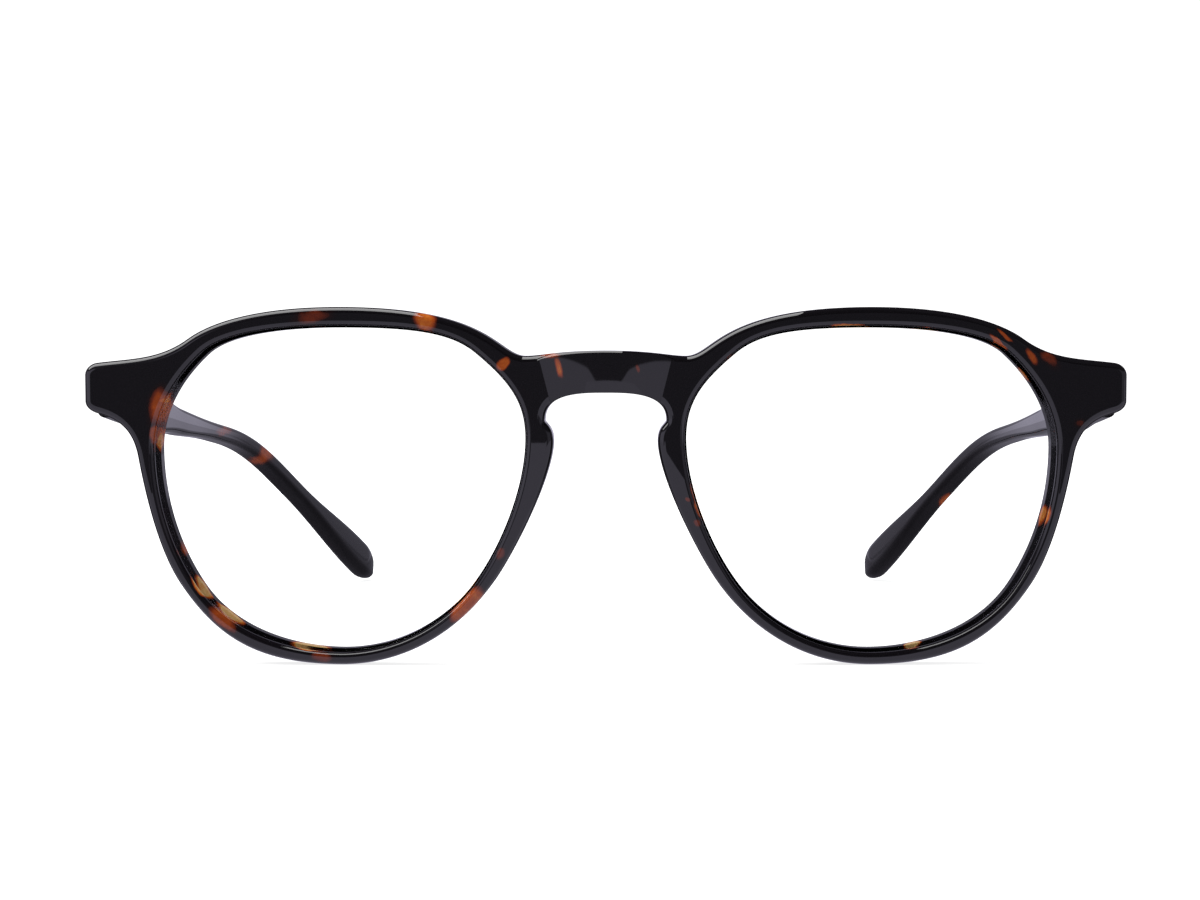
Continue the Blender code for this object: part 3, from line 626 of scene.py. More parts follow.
def set_shading(bm):
    """Note how each corner shades, large faces leading, and which walls are milled but not polished."""
    shading = bm.loops.layers.float_vector.new("shading")
    milled = bm.verts.layers.float.new("milled")
    bm.normal_update()
    limit = cos(radians(FRONT_SMOOTH_ANGLE))
    areas = {face: face.calc_area() for face in bm.faces}
    for face in bm.faces:
        hollow = in_hollow(face)
        for loop in face.loops:
            if hollow:
                loop[shading] = hollow_normal(loop.vert.co.x, loop.vert.co.z)
                continue
            mates = [mate for mate in loop.vert.link_faces if mate.normal.dot(face.normal) > limit]
            loop[shading] = sum((mate.normal * areas[mate] for mate in mates), Vector()).normalized()
        if faces_opening(face):
            for vertex in face.verts:
                vertex[milled] = 1.0


def bent_shading(mesh):
    """The noted shading directions after the front is bent and stood up."""
    stand = STAND.to_3x3()
    turned = []
    for loop, corner in zip(mesh.loops, mesh.attributes["shading"].data):
        angle = mesh.vertices[loop.vertex_index].co.x / FRONT_WRAP_RADIUS
        turned.append(stand @ Matrix.Rotation(angle, 3, "Z") @ Vector(corner.vector))
    return turned


def front_leaf_pocket():
    depth = LEAF_THICKNESS + GAP
    size = (FRONT_LEAF_WIDTH + 2 * GAP, depth + OVERRUN, LEAF_HEIGHT + 2 * GAP)
    return box(size, (HINGE_X, FRONT_THICKNESS + (OVERRUN - depth) / 2, END_Z))


def make_front():
    rounding = [(depth, -growth) for depth, growth in rounded_steps(OUTER_ROUNDING)]
    back = [(FRONT_THICKNESS - depth, -growth) for depth, growth in reversed(rounded_steps(BACK_ROUNDING))]
    front = make_mesh("acetate_front", loft(sections(front_outline(), rounding + back)))
    for side in (1, -1):
        combine(front, sided(lens_opening(), side), "DIFFERENCE")
        combine(front, sided(front_leaf_pocket(), side), "DIFFERENCE")
    combine(front, bridge_hollow(), "DIFFERENCE")
    combine(front, brow_chamfer(), "DIFFERENCE")
    bm = bmesh.new()
    bm.from_mesh(front.data)
    bmesh.ops.remove_doubles(bm, verts=bm.verts, dist=MERGE_DISTANCE)
    bmesh.ops.dissolve_degenerate(bm, dist=MERGE_DISTANCE, edges=bm.edges)
    set_shading(bm)
    bmesh.ops.triangulate(bm, faces=bm.faces)
    bm.to_mesh(front.data)
    bm.free()
    shading = bent_shading(front.data)
    bend_and_stand(front, FRONT_SMOOTH_ANGLE)
    front.data.normals_split_custom_set(shading)
    front.data.attributes.remove(front.data.attributes["shading"])
    return front


def make_lens(name, side):
    """A plain lens, domed forwards, with the bevel that sits in the rim's groove."""
    tip_depth = GROOVE_START + GROOVE_WIDTH / 2
    front_depth = tip_depth - LENS_EDGE_THICKNESS / 2
    edge = lens_outline(LENS_SEAT_CLEARANCE)
    body = grown(edge, -LENS_BEVEL)
    middle = Vector((LENS_X, LENS_Z))

    def domed(share, depth):
        places = [middle + (point - middle) * share for point in body]
        rise = LENS_DOME * (1 - share * share)
        return [(place.x, depth - rise, place.y) for place in places]

    faces = [domed(share, front_depth) for share in reversed(LENS_RING_SHARES)]
    backs = [domed(share, front_depth + LENS_EDGE_THICKNESS) for share in LENS_RING_SHARES]
    bm = loft(faces + sections(edge, [(tip_depth, 0.0)]) + backs)
    return bend_and_stand(make_mesh(name, sided(bm, side)))


def make_nose_pad(name, side):
    edge = smooth_outline(nose_anchors(), closed=False)
    first, last = (share * (len(edge) - 1) for share in PAD_SPAN_SHARES)
    base = FRONT_THICKNESS + GAP
    rings = []
    for station in range(PAD_STATIONS + 1):
        share = station / PAD_STATIONS
        place = first + (last - first) * share
        index = min(int(place), len(edge) - 2)
        point = edge[index].lerp(edge[index + 1], place - index)
        along = (edge[index + 1] - edge[index]).normalized()
        inwards = Vector((along.y, -along.x))
        swell = max(sin(pi * share), 0.0) ** PAD_SWELL_POWER
        depth = PAD_END_DEPTH + (PAD_DEPTH - PAD_END_DEPTH) * swell
        width = PAD_WIDTH * (PAD_END_WIDTH_SHARE + (1 - PAD_END_WIDTH_SHARE) * swell)
        ring = []
        for across, back in PAD_SECTION_SHARES:
            spot = point + inwards * (PAD_INSET + across * width + back * PAD_SPLAY * swell)
            ring.append((spot.x, base + back * depth, spot.y))
        rings.append(ring)
    return bend_and_stand(make_mesh(name, sided(loft(rings), side)), PAD_SMOOTH_ANGLE)


# Hinges, in their own space: the axis along Z, the temple's way back along Y, outwards along X


def finish_at_hinge(made, side, smooth_angle=SMOOTH_ANGLE):
    return finish_piece(made, STAND @ hinge_frame(side), smooth_angle)


def knuckle_level(index):
    """The height of a knuckle's middle, counted from the lowest one."""
    return -HINGE_HEIGHT / 2 + KNUCKLE_HEIGHT / 2 + index * (KNUCKLE_HEIGHT + KNUCKLE_GAP)


def knuckle_tree():
    """A stack of knuckles: short cylinders with broken edges, evenly spaced along Z."""
    sizes = dict.fromkeys(("First", "Spacing", "Radius", "Height", "Edge Break"), "Float")
    board, given, result = node_group("knuckle_stack", "GeometryNodeTree", {
        "Count": "Int", **sizes, "Metal": "Material"}, "Knuckles", "Geometry")

    def less(size, breaks):
        """A size without one or two of the edge breaks."""
        return board.math("MULTIPLY_ADD", given["Edge Break"], -breaks, given[size])

    def upwards(size):
        return board.node("ShaderNodeCombineXYZ", Z=given[size]).outputs[0]

    # a wide and a tall cylinder, and the hull around both, make the broken edges
    both = board.node("GeometryNodeJoinGeometry")
    for radius, height in ((given["Radius"], less("Height", 2.0)), (less("Radius", 1.0), given["Height"])):
        barrel = board.node("GeometryNodeMeshCylinder", Vertices=ROUND_SIDES, Radius=radius, Depth=height)
        board.feed(both.inputs[0], barrel.outputs["Mesh"])
    knuckle = board.node("GeometryNodeConvexHull", Geometry=both.outputs[0])
    line = board.node("GeometryNodeMeshLine", Count=given["Count"], Start_Location=upwards("First"),
                      Offset=upwards("Spacing"))
    stack = board.node("GeometryNodeInstanceOnPoints", Points=line.outputs[0], Instance=knuckle.outputs[0])
    real = board.node("GeometryNodeRealizeInstances", Geometry=stack.outputs[0])
    dressed = board.node("GeometryNodeSetMaterial", Geometry=real.outputs[0], Material=given["Metal"])
    board.feed(result, dressed.outputs[0])
    return board.tree


def knuckle_stack(first):
    """Every second knuckle of a hinge from the given one, as a plain mesh."""
    tree = bpy.data.node_groups.get("knuckle_stack") or knuckle_tree()
    made = add_object("knuckles", bpy.data.meshes.new("knuckles"))
    values = {"Count": len(range(first, KNUCKLES, 2)), "First": knuckle_level(first),
              "Spacing": 2 * (KNUCKLE_HEIGHT + KNUCKLE_GAP), "Radius": BARREL_RADIUS,
              "Height": KNUCKLE_HEIGHT, "Edge Break": EDGE_BREAK,
              "Metal": bpy.data.materials["hinge_nickel_silver"]}
    modifier = made.modifiers.new("knuckle_stack", "NODES")
    modifier.node_group = tree
    for item in tree.interface.items_tree:
        if item.in_out == "INPUT":
            modifier[item.identifier] = values[item.name]
    settle(made)
    return made


def add_knuckles(leaf, first, web_size, web_centre):
    """The knuckles, the webs that carry them and the screw's bore."""
    for index in range(first, KNUCKLES, 2):
        web = box((*web_size, KNUCKLE_HEIGHT * WEB_HEIGHT_SHARE), (*web_centre, knuckle_level(index)))
        combine(leaf, web, "UNION")
    combine(leaf, knuckle_stack(first), "UNION")
    bore = cylinder(SCREW_RADIUS + SCREW_CLEARANCE, HINGE_HEIGHT + 2 * OVERRUN, (0.0, 0.0, 0.0))
    combine(leaf, bore, "DIFFERENCE")


def make_front_hinge(name, side):
    plate = box((FRONT_LEAF_WIDTH, LEAF_THICKNESS, LEAF_HEIGHT),
                (HINGE_X, FRONT_THICKNESS - LEAF_THICKNESS / 2, END_Z))
    leaf = make_mesh(name, sided(plate, side))
    bend(leaf)
    leaf.data.transform(hinge_frame(side).inverted())
    reach = INNER_FACE + LEAF_THICKNESS / 2
    add_knuckles(leaf, 0, (WEB_WIDTH, reach), (0.0, -reach / 2))
    return finish_at_hinge(leaf, side)


def temple_leaf_box(clearance):
    """The temple leaf's plate in the temple's inner face, or with a clearance its pocket."""
    inwards = OVERRUN if clearance else 0.0
    start = -LEAF_LEAD - inwards
    length = TEMPLE_LEAF_LENGTH + clearance + inwards
    thickness = LEAF_THICKNESS + clearance
    size = (thickness + inwards, length, LEAF_HEIGHT + 2 * clearance)
    centre = (INNER_FACE + (thickness - inwards) / 2, start + length / 2, -TEMPLE_DROP)
    return box(size, centre, Matrix.Rotation(-TEMPLE_PITCH, 4, "X"))


def make_temple_hinge(name, side):
    leaf = make_mesh(name, temple_leaf_box(0.0))
    reach = INNER_FACE + LEAF_THICKNESS / 2
    add_knuckles(leaf, 1, (reach, WEB_WIDTH), (reach / 2, 0.0))
    mirror_mesh(leaf, side)
    return finish_at_hinge(leaf, side)


def make_screw(name, side):
    """A slotted screw whose shaft ends in the middle of its head."""
    shaft_top = HINGE_HEIGHT / 2 + SCREW_HEAD_HEIGHT / 2
    shaft_height = HINGE_HEIGHT / 2 + shaft_top
    shaft_middle = (0.0, 0.0, shaft_top - shaft_height / 2)
    screw = make_mesh(name, cylinder(SCREW_RADIUS, shaft_height, shaft_middle, EDGE_BREAK))
    head_base = HINGE_HEIGHT / 2 + SCREW_CLEARANCE
    head_middle = (0.0, 0.0, head_base + SCREW_HEAD_HEIGHT / 2)
    combine(screw, cylinder(SCREW_HEAD_RADIUS, SCREW_HEAD_HEIGHT, head_middle, EDGE_BREAK), "UNION")
    slot_height = SCREW_HEAD_HEIGHT / 2 + OVERRUN
    slot_middle = (0.0, 0.0, head_base + SCREW_HEAD_HEIGHT + OVERRUN - slot_height / 2)
    combine(screw, box((3 * SCREW_HEAD_RADIUS, SCREW_SLOT, slot_height), slot_middle), "DIFFERENCE")
    return finish_at_hinge(screw, side)


# Temples, in the hinge's own space


def temple_path():
    """Places along the middle of the temple's outer plane: (length, point, pitch, toe-in)."""
    step = TEMPLE_LENGTH / PATH_STEPS
    lead = 2 * BARREL_RADIUS + 2 * OVERRUN
    length, point = -lead, Vector((0.0, -lead * cos(TEMPLE_PITCH), lead * sin(TEMPLE_PITCH)))
    toe_start, toe_end = (share * TEMPLE_LENGTH for share in TOE_IN_SHARES)
    places = []
    while length <= TEMPLE_LENGTH + step / 2:
        bent = smooth_step(length, TEMPLE_STRAIGHT, TEMPLE_STRAIGHT + BEND_LENGTH)
        pitch = TEMPLE_PITCH + radians(TIP_BEND) * bent
        toe_in = radians(TIP_TOE_IN) * smooth_step(length, toe_start, toe_end)
        places.append((length, point.copy(), pitch, toe_in))
        point += step * Vector((-sin(toe_in), cos(toe_in) * cos(pitch), -sin(pitch)))
        length += step
    return places


def path_at(places, length):
    """The path's place at a length, between the two places around it."""
    step = places[1][0] - places[0][0]
    index = min(max(int((length - places[0][0]) / step), 0), len(places) - 2)
    here, there = places[index], places[index + 1]
    share = (length - here[0]) / step
    pitch = here[2] + (there[2] - here[2]) * share
    toe_in = here[3] + (there[3] - here[3]) * share
    return length, here[1].lerp(there[1], share), pitch, toe_in


def across_frame(place):
    """Unit vectors outwards and up across the temple at a place of its path."""
    sink, level = sin(place[2]), cos(place[2])
    aside, ahead = sin(place[3]), cos(place[3])
    along = Vector((-aside, ahead * level, -ahead * sink))
    outwards = Vector((ahead, aside * level, -aside * sink))
    return outwards, outwards.cross(along)


def temple_step(length, shares):
    return smooth_step(length / TEMPLE_LENGTH, *shares)


def temple_height(length):
    waist = (TEMPLE_WAIST_HEIGHT - TEMPLE_BUTT_HEIGHT) * temple_step(length, WAIST_SHARES)
    paddle = (TEMPLE_TIP_HEIGHT - TEMPLE_WAIST_HEIGHT) * temple_step(length, PADDLE_SHARES)
    return TEMPLE_BUTT_HEIGHT + waist + paddle


def temple_belly(length):
    """How much further down the temple reaches just behind its hinge."""
    return TEMPLE_BELLY * (temple_step(length, BELLY_SHARES[:2]) - temple_step(length, BELLY_SHARES[2:]))


def temple_thickness(length):
    waist = temple_step(length, WAIST_SHARES)
    return TEMPLE_THICKNESS + (TEMPLE_WAIST_THICKNESS - TEMPLE_THICKNESS) * waist


def end_scale(length):
    """How much of its size the temple keeps as its end rounds off."""
    into = max(length - (TEMPLE_LENGTH - TIP_ROUNDING), 0.0) / TIP_ROUNDING
    return sqrt(max(1.0 - into * into, 0.0))


def temple_ring(place, inner, outer, half_height, corner, below=0.0, corner_points=CORNER_POINTS):
    """A rounded section of the temple."""
    outwards, up = across_frame(place)
    middle = place[1] + Vector((INNER_FACE + TEMPLE_THICKNESS / 2, 0.0, -TEMPLE_DROP))
    middle -= up * below
    near, far = inner + corner, outer - corner
    high, low = half_height - corner, corner - half_height
    ring = []
    for turn, x, z in ((90, far, high), (0, far, low), (-90, near, low), (-180, near, high)):
        for step in range(corner_points):
            angle = radians(turn - 90 * step / (corner_points - 1))
            across, rise = x + corner * cos(angle), z + corner * sin(angle)
            ring.append(middle + outwards * across + up * rise)
    return ring


def temple_lengths(start, end, spacing):
    count = ceil((end - start) / spacing)
    return [start + (end - start) * step / count for step in range(count + 1)]


def make_temple(name, side):
    places = temple_path()
    start = places[0][0]
    body_end = TEMPLE_LENGTH - TIP_ROUNDING
    rounding = [body_end + TIP_ROUNDING * sin(radians(turn)) for turn in TIP_TURNS]
    rings = []
    for length in temple_lengths(start, body_end, TEMPLE_RING_SPACING) + rounding:
        scale = end_scale(length)
        inner, outer = TEMPLE_THICKNESS / 2 - temple_thickness(length), TEMPLE_THICKNESS / 2
        middle = (inner + outer) / 2
        inner, outer = (middle + (edge - middle) * scale for edge in (inner, outer))
        below = temple_belly(length) / 2
        half_height = temple_height(length) / 2 * scale + below
        corner = min(TEMPLE_CORNER * (1 + temple_step(length, PADDLE_SHARES) * PADDLE_CORNER_GAIN),
                     CORNER_LIMIT_SHARE * (outer - inner) / 2, CORNER_LIMIT_SHARE * half_height)
        rings.append(temple_ring(path_at(places, length), inner, outer, half_height, corner, below))
    bm = loft(rings)
    trim_to_end_piece(bm)
    temple = make_mesh(name, bm)
    combine(temple, temple_leaf_box(GAP), "DIFFERENCE")
    combine(temple, core_channel(places, start), "DIFFERENCE")
    mirror_mesh(temple, side)
    return finish_at_hinge(temple, side, TEMPLE_SMOOTH_ANGLE)


def trim_to_end_piece(bm):
    """Cut the butt parallel to the back of the end piece, a gap behind it."""
    to_hinge = hinge_frame(1).inverted()
    across = FRONT_HALF - TEMPLE_SET_BACK - TEMPLE_THICKNESS / 2
    place = to_hinge @ wrapped(across, FRONT_THICKNESS + GAP, END_Z)
    behind = to_hinge @ wrapped(across, FRONT_THICKNESS + 2 * GAP, END_Z)
    cut = bmesh.ops.bisect_plane(bm, geom=bm.verts[:] + bm.edges[:] + bm.faces[:], plane_co=place,
                                 plane_no=(place - behind).normalized(), clear_outer=True)
    rim = [piece for piece in cut["geom_cut"] if isinstance(piece, bmesh.types.BMEdge)]
    bmesh.ops.contextual_create(bm, geom=rim)


def core_channel(places, start):
    end = TEMPLE_LENGTH - CORE_STOP + GAP
    half_height = CORE_HEIGHT / 2 + GAP
    half_thickness = CORE_THICKNESS / 2 + GAP
    inner, outer = CORE_OFFSET - half_thickness, CORE_OFFSET + half_thickness
    lengths = temple_lengths(start, end, CHANNEL_RING_SPACING)
    return loft([temple_ring(path_at(places, length), inner, outer, half_height, CORE_CORNER,
                             corner_points=CHANNEL_CORNER_POINTS) for length in lengths])


# Looks

# Clouds of warm colour in the acetate, in millimetres: middle, half sizes along the turn, in depth and
# across, turn in degrees, warmth, and how soft the border is as a share. The front's rows leave out the
# depth: some clouds reach through the whole sheet, the others lie deeper and show on its walls, where
# their light tan is partly painted light, as if light came through the acetate.
SHEET_CLOUDS = (
    (-38.8, 46.4, 2.3, 0.9, 8, 0.44, 0.6), (-23.8, 45.8, 1.7, 1.5, -30, 0.8, 0.35),
    (-13.5, 40.2, 1.2, 0.8, 60, 0.72, 0.25), (-7.5, 41.3, 1.5, 0.5, 0, 0.6, 0.5),
    (-6.2, 39.8, 1.4, 0.5, -66, 0.76, 0.5), (4.2, 39.5, 0.7, 0.3, -70, 0.44, 0.5),
    (-59.1, 35.3, 0.7, 0.4, 30, 0.82, 0.6), (-59.6, 34.6, 2.6, 1.3, 80, 0.62, 0.5),
    (-60.0, 30.6, 1.5, 0.7, 85, 0.6, 0.4), (-57.6, 20.9, 0.7, 0.45, -65, 0.72, 0.4),
    (-56.4, 15.4, 1.4, 0.9, -55, 0.66, 0.4), (-51.3, 6.0, 2.3, 0.8, -42, 0.6, 0.45),
    (-38.0, 1.0, 1.5, 0.8, 0, 0.46, 0.5), (-18.5, 8.1, 3.1, 1.3, 48, 0.72, 0.25),
    (-14.0, 14.9, 1.0, 0.6, 60, 0.42, 0.5), (16.5, 40.9, 0.9, 0.5, 45, 0.62, 0.4),
    (32.6, 45.1, 2.9, 0.4, 0, 0.98, 0.4), (42.6, 44.7, 1.8, 0.4, -6, 0.98, 0.4),
    (52.3, 42.9, 1.5, 0.35, -42, 0.72, 0.3), (53.2, 43.9, 1.3, 0.3, -40, 0.66, 0.4),
    (59.0, 40.9, 1.5, 0.8, -35, 0.44, 0.6), (56.7, 41.2, 1.2, 0.5, -60, 0.66, 0.5),
    (55.8, 38.7, 1.3, 0.5, -55, 0.84, 0.3), (63.4, 32.5, 0.6, 0.5, 0, 0.33, 0.6),
    (12.2, 21.9, 2.8, 0.6, -69, 0.8, 0.25), (10.8, 22.3, 0.5, 0.3, -50, 0.46, 0.5),
    (12.2, 19.1, 0.6, 0.5, -50, 0.46, 0.5), (47.6, 5.7, 1.0, 0.5, 35, 0.42, 0.5),
    (38.6, 3.0, 0.8, 0.5, 10, 0.5, 0.4),
)
# real clouds on the walls whose light tan is partly painted light coming through the acetate
LIT_THROUGH_WALL_CLOUDS = (
    (-59.9, 29.8, 1.6, 0.7, 85, 0.85, 0.3), (-54.1, 10.4, 2.4, 1.0, -52, 0.95, 0.2),
    (-50.6, 7.0, 2.7, 1.0, -40, 0.97, 0.2), (-39.7, 2.4, 2.6, 0.9, -6, 1.0, 0.25),
    (-18.9, 8.6, 3.6, 1.1, 48, 0.9, 0.3), (58.5, 19.9, 1.8, 1.0, 68, 0.84, 0.3),
    (41.2, 2.7, 1.4, 0.9, 12, 0.98, 0.2),
)
FRONT_CLOUDS = [((x, depth, z), (along, half_depth, across), *rest)
                for depth, half_depth, rows in ((-69, 9, SHEET_CLOUDS), (-68.6, 2.2, LIT_THROUGH_WALL_CLOUDS))
                for x, z, along, across, *rest in rows]
TEMPLE_CLOUDS = (
    ((-66.0, 3, 30.2), (3.0, 6, 0.9), 0, 0.46, 0.5),
    ((-62.6, 26, 26.0), (2.6, 5, 1.9), 20, 0.60, 0.35),
    ((-58.3, 46, 16.9), (0.8, 2, 0.5), -40, 0.62, 0.4),
    ((66.0, 10, 30.4), (0.9, 2, 0.6), 0, 0.34, 0.6),
    ((64.5, 19, 29.0), (0.9, 2, 0.6), 0, 0.34, 0.6),
    ((-69.2, -38, 36.0), (1.0, 7, 1.6), 0, 0.70, 0.4),
    ((-69.2, -14, 31.8), (1.2, 5, 1.2), 0, 0.50, 0.5),
    ((69.2, -28, 32.5), (1.0, 6, 1.2), 0, 0.72, 0.4),
    ((69.2, -52, 36.5), (1.0, 5, 1.8), 0, 0.46, 0.5),
    ((-60.5, 50, 13.0), (1.5, 5, 2.0), 0, 0.66, 0.4),
    ((60.5, 40, 17.0), (1.5, 6, 1.8), 0, 0.66, 0.4),
    ((56.5, 58, 6.0), (1.5, 5, 2.0), 0, 0.50, 0.5),
)
MILLIMETRES = 1000

# Patterns: scales in waves per metre, depths in metres
NOISE_VALUES = (0.3, 0.7)
SWIRL_SCALE = 330.0
SWIRL_REACH = 0.0013
MOTTLE_SCALE = 900.0
STREAK_SCALE = 2600.0
STREAK_STRETCH = (1.0, 0.2, 1.0)
WALL_GLOW = (0.0003, 0.0012, 0.92, 1.05)
POLISH_SCALE = 60.0
POLISH_WAVE_SCALE = 90.0
POLISH_WAVE_SHARE = 0.08
MILLED_ROUGHNESS = 0.02
MILLING_SCALE = 1800.0
MILLING_STRETCH = (1.0, 0.7, 1.0)
MILLING_SHARE = 0.05
ACETATE_BUMP = 0.00004
ACETATE_IOR = 1.49
PAD_SCALE = 300.0
PAD_GRAIN_SCALE = 1800.0
LENS_IOR = 1.50
LENS_TINT_SCALE = 25.0
LENS_STRAIGHT_MIRROR = 0.045
LENS_SLANT_GAIN = 1.3
METAL_MARK_SCALE = 2400.0
METAL_MARK_SHADE = 0.82
METAL_BUMP = 0.00002
TORTOISE = (
    (0.0, (14, 12, 15)), (0.20, (24, 11, 11)), (0.42, (96, 36, 17)),
    (0.66, (158, 70, 22)), (0.84, (188, 108, 40)), (1.0, (198, 162, 106)),
)
PAD_TORTOISE = ((0.0, (16, 11, 11)), (0.6, (26, 14, 11)), (1.0, (60, 26, 14)))

# The table: its outline, and where it looks brighter or darker, as from, to and the values there
TABLE_OUTLINE = (
    (-1.6, -0.272), (-0.10, -0.272), (-0.04, -0.413), (0.016, -0.413), (0.022, -0.297), (0.13, -0.272),
    (1.6, -0.272), (1.6, 2.4), (-1.6, 2.4),
)
TABLE_DROP = 0.00006
TABLE_SHADE = 0.46
TABLE_ROUGHNESS = 0.9
TABLE_SEEN = (-0.02, 0.45, 0.80, 1.2)
# painted light and shadow: how bright the table looks to the acetate's mirror, by place rather than by its
# lamps
TABLE_BEFORE = (-0.062, -0.045, 1.05, 0.10)
TABLE_BETWEEN = (0.04, 0.10, 0.0, 0.10)
TABLE_FAR = (0.15, 0.50, 0.0, 0.34)
TABLE_MIDDLE = (0.28, 0.52, 1.0, 0.0)
TABLE_NEAR_LIMIT = 0.01

# The room as polished acetate shows it: from and to as slopes or shares of a direction, and the
# brightness there. The table's edge before the camera is flat in its middle and climbs aside of it.
WHITE = (1.0, 1.0, 1.0)
LILAC_LOSS = (0.16, 0.20, 0.0)
EDGE_LEVEL = -0.1138
EDGE_FLAT_HALF = 0.03
EDGE_CLIMB = 0.115
EDGE_STEP = (0.044, 0.082, 0.0, 0.0036)
EDGE_BLUR = 0.0006
EDGE_SIDES = (0.34, 0.29)
EDGE_BRIGHTNESS = 0.64
FRONT_BRIGHTNESS = 0.13
LEFT_WALL = (-0.50, -0.62, 0.0, 0.95)
RIGHT_WALL = (0.50, 0.80, 0.0, 0.28)
SHEET_MIDDLE = (0.87, 0.965)
SHEET_TOP = (0.10, 0.05)
SHEET_BRIGHTNESS = 0.38
BACK_BRIGHTNESS = 0.24
BACK_START = (-0.12, 0.20)
CEILING = (0.26, 0.42, 1.0, 0.16)
FLAT_LIMIT = 0.001
ROOM_GAIN = 1.2
ROOM_FILL = 0.55
SEEN_BRIGHTNESS = 1.3

# The softbox faces straight down. The camera's lens is in millimetres, its tilt down in degrees.
SOFTBOX_PLACE = (-0.65, -0.087, 0.75)
SOFTBOX_SIZE = (1.3, 0.653)
SOFTBOX_POWER = 15.0
CAMERA_PLACE = (0.00551, -0.36784, 0.03549)
CAMERA_TILT = 1.3
CAMERA_LENS = 66.87
CAMERA_SHIFT = -0.0392
CAMERA_NEAR = 0.01


def srgb(colour):
    """The light in a colour that is given as it is written on a screen."""
    return tuple(((c / 255 + 0.055) / 1.055) ** 2.4 if c > 10 else c / 255 / 12.92 for c in colour)


def screen_stops(stops):
    return [(position, srgb(colour)) for position, colour in stops]


def cloud_group():
    """How deep a place lies in one cloud: the cloud's warmth inside, nought outside."""
    board, given, result = node_group("amber_cloud", "ShaderNodeTree", {
        "Place": "Vector", "Middle": "Vector", "Half Size": "Vector", "Turn": "Float",
        "Warmth": "Float", "Softness": "Float"}, "Warmth", "Float")
    offset = board.vector_math("SUBTRACT", given["Place"], given["Middle"])
    turned = board.node("ShaderNodeVectorRotate", {"rotation_type": "Y_AXIS"}, Vector=offset,
                        Angle=given["Turn"])
    reach = board.vector_math("LENGTH", board.vector_math("DIVIDE", turned.outputs[0], given["Half Size"]))
    inside = board.map_range(reach, board.plus(1.0, given["Softness"]), board.minus(1.0, given["Softness"]))
    board.feed(result, board.times(inside, given["Warmth"]))
    return board.tree


def behind_face(board, place):
    """How far a place lies behind the front's bent face."""
    x, y, z = board.axes(place)
    bent = board.over(board.times(x, x), 2 * FRONT_WRAP_RADIUS)
    lean = board.times(z, sin(atan2(-STAND[1][2], STAND[1][1])))
    return board.minus(board.plus(y, lean), bent, STAND.translation.y)


def tortoise_acetate(name, clouds):
    """Near-black acetate with red-brown, orange and tan clouds, polished but not quite even."""
    board = Board(name)
    place = board.place()
    swirl = board.vector_math("SUBTRACT", board.noise(place, SWIRL_SCALE, colour=True), (0.5, 0.5, 0.5))
    swirled = board.vector_math("ADD", place, board.vector_math("MULTIPLY", swirl, (SWIRL_REACH,) * 3))
    group = bpy.data.node_groups.get("amber_cloud") or cloud_group()
    warmths = []
    for middle, half_size, turn, warmth, softness in clouds:
        cloud = board.node(
            "ShaderNodeGroup", {"node_tree": group}, Place=swirled, Middle=Vector(middle) / MILLIMETRES,
            Half_Size=Vector(half_size) / MILLIMETRES, Turn=radians(turn), Warmth=warmth,
            Softness=softness)
        warmths.append(cloud.outputs[0])
    mottle = board.spread(board.noise(swirled, MOTTLE_SCALE), 0.94, 1.05)
    streaks = board.noise(board.vector_math("MULTIPLY", swirled, STREAK_STRETCH), STREAK_SCALE)
    streaks = board.map_range(streaks, 0.35, 0.65, 0.97, 1.03)
    # the clouds look lighter on the walls, where light comes through the acetate
    glow = board.map_range(behind_face(board, place), *WALL_GLOW)
    warmth = board.times(board.larger(*warmths), mottle, streaks, glow)
    polish = board.spread(board.noise(place, POLISH_SCALE, 1.0), 0.010, 0.020)
    milled = board.node("ShaderNodeAttribute", {"attribute_name": "milled"}).outputs["Fac"]
    slant = board.vector_math("MULTIPLY", place, MILLING_STRETCH)
    hatch = board.node("ShaderNodeTexWave", {"bands_direction": "DIAGONAL"}, Vector=slant,
                       Scale=MILLING_SCALE, Distortion=1.2, Detail=2.0)
    marks = board.plus(board.times(hatch.outputs["Fac"], milled, MILLING_SHARE),
                       board.times(board.noise(place, POLISH_WAVE_SCALE, 1.0), POLISH_WAVE_SHARE))
    board.surface(Base_Color=board.ramp(warmth, screen_stops(TORTOISE)), IOR=ACETATE_IOR,
                  Roughness=board.plus(polish, board.times(milled, MILLED_ROUGHNESS)))
    board.bump(marks, 0.10, ACETATE_BUMP)
    return board.material


def pad_acetate():
    board = Board("nose_pad_acetate")
    place = board.place()
    board.surface(Base_Color=board.ramp(board.noise(place, PAD_SCALE), screen_stops(PAD_TORTOISE)),
                  Roughness=board.spread(board.noise(place, PAD_GRAIN_SCALE), 0.10, 0.20), IOR=ACETATE_IOR)
    return board.material


def clear_lens():
    """Clear coated plastic: one looks straight through it, and it mirrors the room only aslant."""
    board = Board("clear_lens")
    place = board.place()
    tint = board.ramp(board.noise(place, LENS_TINT_SCALE), ((0.0, (0.985, 0.99, 0.99)), (1.0, WHITE)))
    board.surface(Base_Color=tint, IOR=LENS_IOR, Metallic=1.0,
                  Roughness=board.spread(board.noise(place, POLISH_SCALE), 0.0, 0.02))
    through = board.node("ShaderNodeBsdfTransparent", Color=tint)
    mirror = board.node("ShaderNodeFresnel", IOR=LENS_IOR).outputs[0]
    rays = board.node("ShaderNodeLightPath").outputs
    straight = board.larger(rays["Is Shadow Ray"], rays["Is Diffuse Ray"])
    aslant = board.larger(board.minus(mirror, LENS_STRAIGHT_MIRROR), 0.0)
    coated = board.math("MINIMUM", board.times(aslant, LENS_SLANT_GAIN), 1.0)
    share = board.times(coated, board.minus(1.0, straight))
    mix = board.ordered("ShaderNodeMixShader", None, (share, through.outputs[0], board.shader.outputs[0]))
    board.feed(board.tree.nodes["Material Output"].inputs["Surface"], mix[0])
    return board.material


